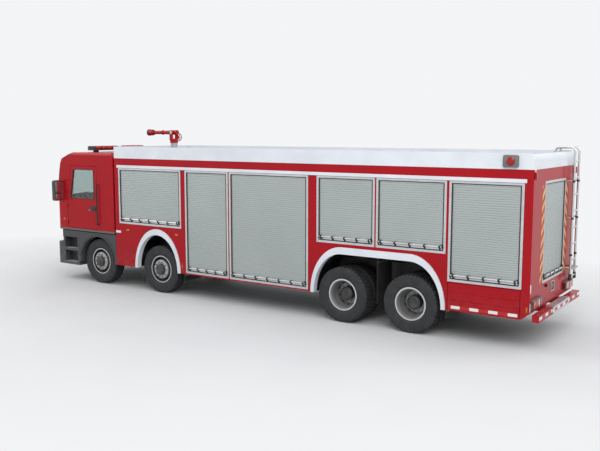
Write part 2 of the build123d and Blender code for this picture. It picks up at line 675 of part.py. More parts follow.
def make_body_shell():
    """The closed body round the tank: a saddle over the frame, cut by the arches and recesses."""
    low = BODY_BOTTOM_Z
    outline = [
        (BODY_FRONT_X, low),
        (BODY_FRONT_X, BODY_TOP_Z),
        (BODY_REAR_X, BODY_TOP_Z),
        (BODY_REAR_X, REAR_PANEL_BOTTOM_Z),
        (BODY_REAR_X + REAR_CHAMFER_LENGTH, REAR_PANEL_BOTTOM_Z - REAR_CHAMFER_HEIGHT),
        (BODY_REAR_X + REAR_CHAMFER_LENGTH, low),
    ]
    shell = slab(outline, -HALF_WIDTH, HALF_WIDTH)
    shell -= box(
        BODY_REAR_X - 1, BODY_FRONT_X + 1, -TUNNEL_HALF_WIDTH, TUNNEL_HALF_WIDTH,
        low - 1, TUNNEL_TOP_Z,
    )
    # the rear panel closes the tunnel's end above the bumper
    shell += box(
        BODY_REAR_X, BODY_REAR_X + 40, -TUNNEL_HALF_WIDTH, TUNNEL_HALF_WIDTH,
        REAR_PANEL_BOTTOM_Z, TUNNEL_TOP_Z,
    )
    half_width = TAIL_BOX_WIDTH / 2 - TAIL_BOX_FRAME
    shell -= box(
        BODY_REAR_X - 1, BODY_REAR_X + TAIL_BOX_DEPTH, -half_width, half_width,
        TAIL_BOX_LOW_Z + TAIL_BOX_FRAME, TAIL_BOX_LOW_Z + TAIL_BOX_HEIGHT - TAIL_BOX_FRAME,
    )
    for rear_x, front_x in ARCHES:
        cut = arch_prism(rear_x, front_x, ARCH_LIP_WALL, ARCH_LIP_WALL, TUNNEL_HALF_WIDTH - 1, HALF_WIDTH + 1)
        shell = shell - cut - other_side(cut)
    pocket_y = HALF_WIDTH - ARCH_LIP_DEPTH - 5
    pocket = box(
        AXLE_2_X - STEER_POCKET_HALF, AXLE_2_X + STEER_POCKET_HALF, TUNNEL_HALF_WIDTH - 1, pocket_y,
        low - 1, TUNNEL_TOP_Z + 20,
    )
    shell = shell - pocket - other_side(pocket)
    for side, front_x, rear_x, bottom in SHUTTERS:
        face = side * HALF_WIDTH
        shell -= box(
            rear_x, front_x, face - side * SHUTTER_RECESS, face + side * 5,
            bottom, DRIP_RAIL_BOTTOM_Z,
        )
    half = REAR_SHUTTER_WIDTH / 2
    shell -= box(
        BODY_REAR_X - 5, BODY_REAR_X + SHUTTER_RECESS, -half, half,
        REAR_SHUTTER_BOTTOM_Z, DRIP_RAIL_BOTTOM_Z,
    )
    for y in (-1, 1):
        for z in (-1, 1):
            shell -= round_x(
                PLATE_HOLE_RADIUS, BODY_REAR_X - 1, BODY_REAR_X + PLATE_HOLE_DEPTH,
                PLATE_Y + y * PLATE_HOLE_SPACING_Y / 2, PLATE_Z + z * PLATE_HOLE_SPACING_Z / 2,
            )
    pivot_y = HALF_WIDTH - STEP_PIVOT_INSET
    pivot_z = STEP_BOTTOM_Z + STEP_PIVOT_INSET
    for side in (1, -1):
        face = side * HALF_WIDTH
        shell -= box(
            STEP_REAR_X - SHUT_GAP, STEP_FRONT_X + SHUT_GAP, face - side * STEP_POCKET_DEPTH, face + side * 5,
            low - 1, STEP_TOP_Z + SHUT_GAP,
        )
        for x in (STEP_REAR_X, STEP_FRONT_X):
            shell -= round_x(STEP_PIN_RADIUS + STEP_PIN_GAP, x - 40, x + 40, side * pivot_y, pivot_z)
    return shell


def make_fold_step():
    """The left fold-down step under the last shutter, hinged on pins along its lower edge."""
    outer = HALF_WIDTH
    step = box(STEP_REAR_X, STEP_FRONT_X, outer - STEP_WALL, outer, STEP_BOTTOM_Z, STEP_TOP_Z)
    for low in (STEP_CREASE_1_Z, STEP_CREASE_2_Z):
        step -= box(STEP_REAR_X - 1, STEP_FRONT_X + 1, outer - 4, outer + 1, low, low + 8)
    pivot_y = outer - STEP_PIVOT_INSET
    pivot_z = STEP_BOTTOM_Z + STEP_PIVOT_INSET
    reach = STEP_PIN_LENGTH + SHUT_GAP
    step += round_x(STEP_PIN_RADIUS, STEP_REAR_X - reach, STEP_FRONT_X + reach, pivot_y, pivot_z)
    return step


STEP_CREASE_1_Z = 835
STEP_CREASE_2_Z = 705


def make_arches():
    """White arch bands, each with a lip that turns inwards round the opening."""
    pieces = []
    for rear_x, front_x in ARCHES:
        outer = HALF_WIDTH + ARCH_BAND_DEPTH
        band = arch_prism(rear_x, front_x, ARCH_BAND_SIDE, ARCH_BAND_TOP, HALF_WIDTH, outer)
        lip = arch_prism(rear_x, front_x, ARCH_LIP_WALL, ARCH_LIP_WALL, HALF_WIDTH - ARCH_LIP_DEPTH, HALF_WIDTH)
        band = band + lip
        band -= arch_prism(rear_x, front_x, 0, 0, HALF_WIDTH - ARCH_LIP_DEPTH - 1, outer + 1)
        band -= box(
            rear_x - 2 * ARCH_HALF_WIDTH, front_x + 2 * ARCH_HALF_WIDTH, 0, outer + 1,
            BODY_BOTTOM_Z - 200, BODY_BOTTOM_Z,
        )
        pieces += both_sides(band)
    return pieces


def make_fascia():
    """White parapet of four walls round the roof, its rear upper corner rounded, and the drip rails."""
    ring = box(BODY_REAR_X, BODY_FRONT_X, -HALF_WIDTH, HALF_WIDTH, BODY_TOP_Z, PARAPET_TOP_Z)
    rear_edges = ring.edges().filter_by(Axis.Y).group_by(Axis.Z)[-1].sort_by(Axis.X)
    ring = fillet(rear_edges[0], PARAPET_CORNER)
    inner_y = HALF_WIDTH - PARAPET_WALL
    end_y = inner_y - SEAT_GAP
    pieces = []
    for side in (1, -1):
        pieces.append(
            ring & box(BODY_REAR_X, BODY_FRONT_X, side * inner_y, side * HALF_WIDTH, BODY_TOP_Z, PARAPET_TOP_Z)
        )
    for x0, x1 in ((BODY_REAR_X, BODY_REAR_X + PARAPET_WALL), (BODY_FRONT_X - PARAPET_WALL, BODY_FRONT_X)):
        pieces.append(ring & box(x0, x1, -end_y, end_y, BODY_TOP_Z, PARAPET_TOP_Z))
    for side in (1, -1):
        face = side * HALF_WIDTH
        pieces.append(
            box(
                BODY_REAR_X + DRIP_RAIL_REAR_INSET, BODY_FRONT_X - DRIP_RAIL_FRONT_INSET,
                face, face + side * DRIP_RAIL_DEPTH,
                DRIP_RAIL_BOTTOM_Z, DRIP_RAIL_BOTTOM_Z + DRIP_RAIL_HEIGHT,
            )
        )
    return pieces


def slat_curtain(length, height):
    """A roller curtain standing on the X axis: each slat leans out over the one below it."""
    count = max(1, round(height / SLAT_PITCH))
    pitch = height / count
    outline = [(0, 0), (0, height)]
    for row in range(count, 0, -1):
        outline += [(SLAT_WALL, row * pitch), (SLAT_WALL - SLAT_GROOVE, (row - 1) * pitch)]
    return front_slab(outline, 0, length)


def make_shutters():
    """Curtains of slats, and their frames with a lower rail each."""
    curtains = []
    frames = []
    for side, front_x, rear_x, bottom in SHUTTERS:
        length = front_x - rear_x
        height = DRIP_RAIL_BOTTOM_Z - bottom
        curtain, frame = make_one_shutter(length, height)
        base = Pos(rear_x, HALF_WIDTH - SHUTTER_RECESS, bottom)
        curtain = base * curtain
        frame = base * frame
        if side < 0:
            curtain = other_side(curtain)
            frame = other_side(frame)
        curtains.append(curtain)
        frames.append(frame)
    curtain, frame = make_one_shutter(REAR_SHUTTER_WIDTH, DRIP_RAIL_BOTTOM_Z - REAR_SHUTTER_BOTTOM_Z)
    base = Pos(BODY_REAR_X + SHUTTER_RECESS, -REAR_SHUTTER_WIDTH / 2, REAR_SHUTTER_BOTTOM_Z) * Rot(0, 0, 90)
    curtains.append(base * curtain)
    frames.append(base * frame)
    return curtains, frames


def make_one_shutter(length, height):
    """A curtain and its frame in the recess, from the recess floor outwards along Y."""
    edge = SHUTTER_FRAME_WIDTH
    frame = box(0, length, 0, SHUTTER_RECESS + 4, 0, height)
    frame -= box(edge, length - edge, -1, SHUTTER_RECESS + 5, edge, height - edge)
    rail_top = edge + SHUTTER_RAIL_HEIGHT
    curtain = Pos(edge, 2, rail_top) * slat_curtain(length - 2 * edge, height - edge - rail_top)
    rail = box(edge, length - edge, 0, SLAT_WALL + 8, edge, rail_top)
    return curtain, frame + rail


# Roof: deck, manhole with its lid, water monitor
HATCH_X = AXLE_3_X + 1200
HATCH_RADIUS = 260
HATCH_HEIGHT = 110
HATCH_WALL = 8
HATCH_LID_WALL = 30
HATCH_DOME_RISE = 12
HATCH_HINGE_RADIUS = 11
HATCH_HINGE_OFFSET = 40
MONITOR_X = BODY_FRONT_X - 700
MONITOR_BASE_RADIUS = 150
MONITOR_BASE_HEIGHT = 330
MONITOR_TURRET_RADIUS = 95
MONITOR_PIVOT_RISE = 240
MONITOR_PIVOT_RADIUS = 34
MONITOR_BARREL_RADIUS = 48
MONITOR_BARREL_LENGTH = 820
MONITOR_NOZZLE_RADIUS = 72
MONITOR_FORK_GAP = 6
HAND_WHEEL_RADIUS = 85
HAND_WHEEL_TUBE = 9
HAND_WHEEL_SHAFT = 13
HAND_WHEEL_REACH = 55
DECK_TOP_Z = BODY_TOP_Z + DECK_WALL
MONITOR_PIVOT_Z = DECK_TOP_Z + MONITOR_BASE_HEIGHT + MONITOR_PIVOT_RISE


def make_roof_deck():
    """Tread deck inside the parapet, the manhole's collar with its hinge ears, and the monitor's base."""
    gap = PARAPET_WALL + 2
    deck = box(
        BODY_REAR_X + gap, BODY_FRONT_X - gap, -HALF_WIDTH + gap, HALF_WIDTH - gap,
        BODY_TOP_Z, DECK_TOP_Z,
    )
    top = DECK_TOP_Z + HATCH_HEIGHT
    seat = DECK_TOP_Z + SEAT_GAP
    bore = round_z(HATCH_RADIUS - HATCH_WALL, seat - 1, top + 1, HATCH_X, 0)
    collar = round_z(HATCH_RADIUS, seat, top, HATCH_X, 0) - bore
    hinge_x = HATCH_X - HATCH_RADIUS - HATCH_HINGE_OFFSET
    hinge_z = top + HATCH_HINGE_RADIUS
    for side in (1, -1):
        y0 = side * 62
        y1 = side * 92
        ear = box(hinge_x - 11, HATCH_X - HATCH_RADIUS + 30, y0, y1, top - 40, top - 2)
        ear += box(hinge_x - 11, hinge_x + 11, y0, y1, top - 40, hinge_z)
        ear += round_y(HATCH_HINGE_RADIUS, y0, y1, hinge_x, hinge_z)
        collar += ear - bore
    base_top = DECK_TOP_Z + MONITOR_BASE_HEIGHT
    base = round_z(MONITOR_BASE_RADIUS, seat, DECK_TOP_Z + 20, MONITOR_X, 0)
    base += round_z(MONITOR_TURRET_RADIUS - 15, seat, base_top - SEAT_GAP, MONITOR_X, 0)
    return [deck, collar, base]


def make_hatch_lid():
    """The manhole's round lid with its hinge tongue and handle."""
    low = DECK_TOP_Z + HATCH_HEIGHT + SEAT_GAP
    hinge_x = HATCH_X - HATCH_RADIUS - HATCH_HINGE_OFFSET
    hinge_z = low - SEAT_GAP + HATCH_HINGE_RADIUS
    lid = round_z(HATCH_RADIUS + 12, low, low + HATCH_LID_WALL, HATCH_X, 0)
    lid += round_z(HATCH_RADIUS - 45, low + 1, low + HATCH_LID_WALL + HATCH_DOME_RISE, HATCH_X, 0)
    lid += box(hinge_x, HATCH_X - HATCH_RADIUS + 20, -56, 56, low + 1, low + HATCH_LID_WALL - 8)
    lid += round_y(HATCH_HINGE_RADIUS, -56, 56, hinge_x, hinge_z)
    handle_x = HATCH_X + HATCH_RADIUS - 70
    top = low + HATCH_LID_WALL
    lid += box(handle_x - 10, handle_x + 10, -70, 70, top + 30, top + 45)
    for side in (1, -1):
        lid += box(handle_x - 10, handle_x + 10, side * 55, side * 70, top - 1, top + 45)
    return lid


def make_monitor_turret():
    """Turns on the base: a ring, a curved water way and the fork that holds the barrel."""
    low = DECK_TOP_Z + MONITOR_BASE_HEIGHT
    turret = round_z(MONITOR_TURRET_RADIUS, low, low + 60, MONITOR_X, 0)
    turret += round_z(MONITOR_TURRET_RADIUS - 35, low + 59, low + 100, MONITOR_X, 0)
    inner = MONITOR_BARREL_RADIUS + 22 + MONITOR_FORK_GAP
    for side in (1, -1):
        y0 = side * inner
        y1 = side * (inner + 30)
        turret += box(MONITOR_X - 45, MONITOR_X + 45, y0, y1, low + 90, MONITOR_PIVOT_Z)
        turret += round_y(45, y0, y1, MONITOR_X, MONITOR_PIVOT_Z)
    turret += box(MONITOR_X - 45, MONITOR_X + 45, -inner - 30, inner + 30, low + 60, low + 100)
    turret -= round_y(MONITOR_PIVOT_RADIUS + 0.4, -inner - 40, inner + 40, MONITOR_X, MONITOR_PIVOT_Z)
    # hand wheel that raises the barrel, on the turret's right
    wheel_y = -inner - 30 - HAND_WHEEL_REACH
    wheel_z = low + 130
    turret += round_y(HAND_WHEEL_SHAFT, wheel_y, -inner - 29, MONITOR_X, wheel_z)
    place = Pos(MONITOR_X, wheel_y, wheel_z) * Rot(90, 0, 0)
    turret += place * Torus(HAND_WHEEL_RADIUS, HAND_WHEEL_TUBE)
    for turn in (0, 60, 120):
        turret += place * Rot(0, 0, turn) * Box(2 * HAND_WHEEL_RADIUS, 14, 8)
    return turret


def make_monitor_barrel():
    """The barrel with its trunnion and a wider nozzle."""
    z = MONITOR_PIVOT_Z
    start = MONITOR_X
    profile = [
        (0, -110),
        (MONITOR_BARREL_RADIUS + 8, -110),
        (MONITOR_BARREL_RADIUS + 8, -60),
        (MONITOR_BARREL_RADIUS, -40),
        (MONITOR_BARREL_RADIUS - 8, MONITOR_BARREL_LENGTH - 180),
        (MONITOR_NOZZLE_RADIUS, MONITOR_BARREL_LENGTH - 140),
        (MONITOR_NOZZLE_RADIUS, MONITOR_BARREL_LENGTH),
        (MONITOR_NOZZLE_RADIUS - 14, MONITOR_BARREL_LENGTH),
        (MONITOR_BARREL_RADIUS - 16, MONITOR_BARREL_LENGTH - 130),
        (0, MONITOR_BARREL_LENGTH - 130),
    ]
    outline = Polyline(*[(start + along, 0, z + radius) for radius, along in profile], close=True)
    barrel = revolve(make_face(outline), axis=Axis((start, 0, z), (1, 0, 0)))
    inner = MONITOR_BARREL_RADIUS + 22 + MONITOR_FORK_GAP
    barrel += round_y(MONITOR_PIVOT_RADIUS, -inner - 28, inner + 28, start, z)
    barrel += round_y(MONITOR_PIVOT_RADIUS + 20, -MONITOR_BARREL_RADIUS - 22, MONITOR_BARREL_RADIUS + 22, start, z)
    return barrel


# Tail: bumper, lamps, ladder
BUMPER_LOW_Z = 510
BUMPER_HEIGHT = 118
BUMPER_DEPTH = 133
BUMPER_COVER_WIDTH = 988
BUMPER_COVER_WALL = 12
TAIL_BOX_PROUD = 10
TAIL_BOX_CORNER = 24
TAIL_LAMP_WIDTH = 481
TAIL_LAMP_HEIGHT = 141
TAIL_LAMP_LOW_Z = 700
TAIL_LAMP_DEPTH = 54
TAIL_LAMP_OUTER_Y = HALF_WIDTH - 50
LADDER_OUTER_Y = 1112
LADDER_INNER_Y = 768
LADDER_RAIL_WIDTH = 45
LADDER_STAND_OFF = 95
LADDER_RUNG_RADIUS = 15
LADDER_RUNG_PITCH = 300
LADDER_FIRST_RUNG_Z = 952
LADDER_FOOT_Z = 890
LADDER_TOP_Z = PARAPET_TOP_Z + 60
LADDER_STEP_Z = 1088


def make_rear_bumper():
    low = BUMPER_LOW_Z
    rear_x = -FRONT_X + BUMPER_COVER_WALL + SEAT_GAP
    bar = box(rear_x, -FRONT_X + BUMPER_DEPTH, -HALF_WIDTH + 5, HALF_WIDTH - 5, low, low + BUMPER_HEIGHT)
    pieces = bar
    for side in (1, -1):
        pieces += box(
            -FRONT_X + BUMPER_DEPTH - 1, FRAME_REAR_X + 110, side * RAIL_INNER_Y, side * RAIL_OUTER_Y,
            low + 10, REAR_PANEL_BOTTOM_Z - 2,
        )
        pieces += box(
            BODY_REAR_X + 50, FRAME_REAR_X + 110, side * RAIL_INNER_Y, side * RAIL_OUTER_Y,
            low + 10, RAIL_BOTTOM_Z,
        )
    return pieces


def make_tail_fittings():
    """Silver cover over the bumper's middle, and the frame round the square box above it."""
    low = BUMPER_LOW_Z
    top = low + BUMPER_HEIGHT + SEAT_GAP
    wall = BUMPER_COVER_WALL
    half = BUMPER_COVER_WIDTH / 2
    front_x = -FRONT_X + BUMPER_DEPTH - 2
    cover = slab(
        [
            (-FRONT_X, low),
            (-FRONT_X + wall, low),
            (-FRONT_X + wall, top),
            (front_x, top),
            (front_x, top + wall),
            (-FRONT_X, top + wall),
        ],
        -half, half,
    )
    face = BODY_REAR_X
    half_width = TAIL_BOX_WIDTH / 2
    inner = half_width - TAIL_BOX_FRAME
    low = TAIL_BOX_LOW_Z
    high = low + TAIL_BOX_HEIGHT
    frame = box(face - TAIL_BOX_PROUD, face, -half_width, half_width, low, high)
    frame = fillet(frame.edges().filter_by(Axis.X), TAIL_BOX_CORNER)
    opening = box(
        face - TAIL_BOX_PROUD - 1, face + 1, -inner, inner, low + TAIL_BOX_FRAME, high - TAIL_BOX_FRAME,
    )
    return [cover, frame - fillet(opening.edges().filter_by(Axis.X), TAIL_BOX_CORNER / 3)]


def make_tail_lamps():
    """Lamp clusters with hoods, side flashers, roof corner markers and the plate lamp."""
    pieces = []
    face = BODY_REAR_X
    inner = TAIL_LAMP_OUTER_Y - TAIL_LAMP_WIDTH
    low = TAIL_LAMP_LOW_Z
    top = low + TAIL_LAMP_HEIGHT
    cluster = box(face - TAIL_LAMP_DEPTH + 14, face, inner, TAIL_LAMP_OUTER_Y, low, top)
    cluster += box(face - TAIL_LAMP_DEPTH, face, inner - 8, TAIL_LAMP_OUTER_Y + 8, top, top + 14)
    pieces += both_sides(cluster)
    flasher_z = BODY_TOP_Z + PARAPET_HEIGHT / 2
    flasher = box(face + 253, face + 507, HALF_WIDTH, HALF_WIDTH + 40, flasher_z - 100, flasher_z + 100)
    flasher = fillet(flasher.edges().filter_by(Axis.Y), 30)
    pieces += both_sides(flasher)
    marker_top = BODY_TOP_Z - 36
    marker = box(face - 37, face, HALF_WIDTH - 70, HALF_WIDTH - 25, marker_top - 120, marker_top)
    pieces += both_sides(marker)
    for x in (AXLE_2_X - 590, AXLE_2_X + 900):
        pieces += both_sides(box(x - 45, x + 45, HALF_WIDTH, HALF_WIDTH + 18, 1340, 1380))
    return pieces


def make_ladder():
    """Right rear ladder: two rails that bend over the parapet, rungs, a tread step and feet."""
    x = BODY_REAR_X - LADDER_STAND_OFF
    over_x = BODY_REAR_X + 260
    rail_y = [-(LADDER_OUTER_Y - LADDER_RAIL_WIDTH / 2), -(LADDER_INNER_Y + LADDER_RAIL_WIDTH / 2)]
    radius = LADDER_RAIL_WIDTH / 2
    pieces = None
    for y in rail_y:
        path = FilletPolyline(
            (x, y, LADDER_FOOT_Z), (x, y, LADDER_TOP_Z), (over_x, y, LADDER_TOP_Z),
            (over_x, y, DECK_TOP_Z), radius=75,
        )
        rail = sweep(Plane(origin=path @ 0, z_dir=path % 0) * Circle(radius), path=path)
        for z in (LADDER_STEP_Z + 20, (LADDER_STEP_Z + BODY_TOP_Z) / 2, BODY_TOP_Z - 278):
            rail += round_x(radius * 0.6, x, BODY_REAR_X, y, z)
        pieces = rail if pieces is None else pieces + rail
    count = int((LADDER_TOP_Z - LADDER_FIRST_RUNG_Z) / LADDER_RUNG_PITCH)
    for row in range(count + 1):
        z = LADDER_FIRST_RUNG_Z + row * LADDER_RUNG_PITCH
        pieces += round_y(LADDER_RUNG_RADIUS, rail_y[0], rail_y[1], x, z)
    pieces += box(x - 60, x + 60, rail_y[0], rail_y[1], LADDER_STEP_Z, LADDER_STEP_Z + 30)
    return pieces


# Under the body: tanks, silencer guard, mudguards and flaps
FLAP_WALL = 8
FLAP_LOW_Z = 330
GUARD_WALL = 20
GUARD_GAP = 60
GUARD_FRONT_X = AXLE_1_X + 640
GUARD_REAR_X = BODY_FRONT_X + 8
GUARD_BOTTOM_Z = BODY_BOTTOM_Z
GUARD_TOP_Z = CAB_FLOOR_BOTTOM_Z - 20
GUARD_LIP_RADIUS = TYRE_RADIUS + GUARD_GAP + 34
GUARD_LIP_WALL = 14
GUARD_LIP_RISE = 8

# Heat shield over the silencer
SHIELD_OFFSET = 690
SHIELD_WIDTH = 368
SHIELD_HEIGHT = 675
SHIELD_WALL = 12
SHIELD_CORNER = 44
SHIELD_EDGE = 14
SHIELD_RIB_COUNT = 7
SHIELD_RIB_INSET = 74
SHIELD_RIB_FALL = 105
SHIELD_RIB_WIDTH = 13
SHIELD_RIB_RISE = 6


def make_tanks():
    """Air tanks and the battery box hang on the rails; each touches the web of its rail."""
    pieces = []
    y0 = RAIL_OUTER_Y
    y1 = TUNNEL_HALF_WIDTH - 12
    tank_x = AXLE_2_X - 1300
    for number in range(3):
        x = tank_x - number * 560
        body = round_x((y1 - y0) / 2, x, x + 500, (y0 + y1) / 2, RAIL_BOTTOM_Z + 80)
        pieces += both_sides(body)
    return pieces


def make_heat_shield():
    """Ribbed guard over the silencer, on the right between the first two axles."""
    x0 = AXLE_2_X + SHIELD_OFFSET
    x1 = x0 + SHIELD_WIDTH
    low = BODY_BOTTOM_Z + 20
    high = low + SHIELD_HEIGHT
    face = -HALF_WIDTH - SHIELD_WALL
    proud = face - SHIELD_RIB_RISE
    shield = rounded_plate(x0, x1, face, -HALF_WIDTH, low, high, SHIELD_CORNER)
    edge = SHIELD_EDGE
    border = rounded_plate(x0, x1, proud, face + 1, low, high, SHIELD_CORNER)
    border -= rounded_plate(
        x0 + edge, x1 - edge, proud - 1, face + 2, low + edge, high - edge, SHIELD_CORNER - edge / 2,
    )
    shield += border
    # the ribs come down towards the front
    inset = SHIELD_RIB_INSET
    rib_x0 = x0 + inset
    rib_x1 = x1 - inset
    fall = SHIELD_RIB_FALL
    thick = SHIELD_RIB_WIDTH
    pitch = (high - low - 2 * inset - fall) / (SHIELD_RIB_COUNT - 1)
    for row in range(SHIELD_RIB_COUNT):
        start = low + inset + fall + row * pitch
        shield += slab(
            [(rib_x0, start), (rib_x0, start - thick), (rib_x1, start - fall - thick), (rib_x1, start - fall)],
            proud, face + 1,
        )
    return shield


def rounded_plate(x0, x1, y0, y1, z0, z1, radius):
    plate = box(x0, x1, y0, y1, z0, z1)
    return fillet(plate.edges().filter_by(Axis.Y), radius)


def make_mudguards():
    """Plastic guards over the first axle: two legs outside the steered wheel and a top."""
    pieces = []
    radius = TYRE_RADIUS + GUARD_GAP
    outline = [
        (GUARD_REAR_X, GUARD_BOTTOM_Z),
        (GUARD_REAR_X, GUARD_TOP_Z),
        (GUARD_FRONT_X, GUARD_TOP_Z),
        (GUARD_FRONT_X, GUARD_BOTTOM_Z - 40),
    ]
    guard = slab(outline, HALF_WIDTH - 130, HALF_WIDTH)
    guard -= round_y(radius, 0, 2 * HALF_WIDTH, AXLE_1_X, WHEEL_Z)
    guard -= box(AXLE_1_X - radius, AXLE_1_X + radius, 0, 2 * HALF_WIDTH, 0, WHEEL_Z)
    # a raised lip follows the round opening on the outside
    lip = round_y(GUARD_LIP_RADIUS + GUARD_LIP_WALL, HALF_WIDTH - 1, HALF_WIDTH + GUARD_LIP_RISE, AXLE_1_X, WHEEL_Z)
    lip -= round_y(GUARD_LIP_RADIUS, HALF_WIDTH - 2, HALF_WIDTH + GUARD_LIP_RISE + 1, AXLE_1_X, WHEEL_Z)
    lip &= box(
        GUARD_REAR_X, GUARD_FRONT_X, HALF_WIDTH - 2, HALF_WIDTH + GUARD_LIP_RISE + 1,
        GUARD_BOTTOM_Z + 60, GUARD_TOP_Z,
    )
    guard += lip
    top = box(GUARD_REAR_X, GUARD_FRONT_X, RAIL_OUTER_Y + 50, HALF_WIDTH - 129, GUARD_TOP_Z - GUARD_WALL, GUARD_TOP_Z)
    guard += top
    guard += box(AXLE_1_X - 60, AXLE_1_X + 60, RAIL_OUTER_Y, RAIL_OUTER_Y + 51, RAIL_TOP_Z - 60, GUARD_TOP_Z)
    pieces += both_sides(guard)
    return pieces


# Mudflaps: place along the truck, lower edge, upper edge
FLAPS = [
    (AXLE_2_X - STEER_POCKET_HALF - 20, FLAP_LOW_Z, BODY_BOTTOM_Z),
    (AXLE_4_X - ARCH_HALF_WIDTH - 40, FLAP_LOW_Z, BODY_BOTTOM_Z),
    (BOGIE_X, FLAP_LOW_Z + 100, ARCH_TOP_Z + ARCH_LIP_WALL),
]


def make_mudflaps():
    pieces = []
    outer = HALF_WIDTH - ARCH_LIP_DEPTH - 5
    for x, low, top in FLAPS:
        pieces += both_sides(box(x - FLAP_WALL, x, TUNNEL_HALF_WIDTH + 20, outer, low, top))
    return pieces


# Cab: a hollow shell on front pivots, split into panels, with two doors
CAB_WALL = 50
CAB_NOSE_X = FRONT_X - 50
CAB_REAR_X = BODY_FRONT_X + 50
CAB_LIP_BOTTOM_Z = 1005
CAB_LIP_WALL = 30
CAB_BELT_Z = 1950
CAB_HEADER_Z = 2830
CAB_HEADER_SETBACK = 190
CAB_ROOF_Z = 3090
CAB_ROOF_SLOPE = 420
CAB_FLOOR_WALL = 45
CAB_CORNER_RADIUS = 160
CAB_ROOF_RADIUS = 70
CAB_PANEL_X = FRONT_X - 395
FLOOR_TOP_Z = CAB_FLOOR_BOTTOM_Z + CAB_FLOOR_WALL
ENGINE_TUNNEL_GAP = 60
ENGINE_TUNNEL_WALL = 20

DOOR_FRONT_X = CAB_NOSE_X - 420
DOOR_REAR_X = DOOR_FRONT_X - 1040
DOOR_BOTTOM_Z = FLOOR_TOP_Z + 20
DOOR_TOP_Z = CAB_HEADER_Z - 60
DOOR_FRONT_SLANT = 150
DOOR_GAP = 7
DOOR_WALL = 50
DOOR_HANDLE_Z = CAB_BELT_Z - 155
WINDOW_BOTTOM_Z = CAB_BELT_Z + 60
WINDOW_EDGE = 110
GLASS_WALL = 6
HINGE_RADIUS = 11
HINGE_LENGTH = 70
HINGE_LEAF = 5

WINDSCREEN_HALF_WIDTH = 1075
WINDSCREEN_BOTTOM_Z = CAB_BELT_Z + 25
WINDSCREEN_TOP_Z = CAB_HEADER_Z - 50


def cab_block(inset):
    """The cab's outline as a solid, drawn in by the inset all round but for its floor."""
    nose = CAB_NOSE_X - inset
    roof = CAB_ROOF_Z - inset
    low = CAB_FLOOR_BOTTOM_Z if inset == 0 else FLOOR_TOP_Z
    outline = [
        (CAB_REAR_X + inset, low),
        (nose, low),
        (nose, CAB_BELT_Z),
        (nose - CAB_HEADER_SETBACK, CAB_HEADER_Z),
        (nose - CAB_HEADER_SETBACK - 60, CAB_HEADER_Z + 110 - inset / 2),
        (nose - CAB_HEADER_SETBACK - CAB_ROOF_SLOPE, roof),
        (CAB_REAR_X + inset + 80, roof),
        (CAB_REAR_X + inset, roof - 80),
    ]
    half = HALF_WIDTH - inset
    block = slab(outline, -half, half)
    plan = box(CAB_REAR_X - 100, nose, -half, half, 0, CAB_ROOF_Z + 100)
    corners = plan.edges().filter_by(Axis.Z).group_by(Axis.X)[-1]
    plan = fillet(corners, CAB_CORNER_RADIUS - inset)
    front = box(CAB_REAR_X - 100, nose + 1, -half, half, 0, roof)
    tops = front.edges().filter_by(Axis.X).group_by(Axis.Z)[-1]
    front = fillet(tops, CAB_ROOF_RADIUS - inset / 2)
    return block & plan & front


def door_outline(grow):
    """The door in side view, its front edge leaning back along the windscreen pillar."""
    return [
        (DOOR_REAR_X - grow, DOOR_BOTTOM_Z - grow),
        (DOOR_REAR_X - grow, DOOR_TOP_Z + grow),
        (DOOR_FRONT_X - DOOR_FRONT_SLANT + grow, DOOR_TOP_Z + grow),
        (DOOR_FRONT_X + grow, CAB_BELT_Z + 20),
        (DOOR_FRONT_X + grow, DOOR_BOTTOM_Z - grow),
    ]


def window_outline():
    edge = WINDOW_EDGE
    lean = DOOR_FRONT_SLANT * 0.84
    return [
        (DOOR_REAR_X + edge, WINDOW_BOTTOM_Z),
        (DOOR_REAR_X + edge, DOOR_TOP_Z - edge * 0.8),
        (DOOR_FRONT_X - edge - lean, DOOR_TOP_Z - edge * 0.8),
        (DOOR_FRONT_X - edge, WINDOW_BOTTOM_Z),
    ]


HINGE_Z = [DOOR_BOTTOM_Z + 120, CAB_BELT_Z - 140]


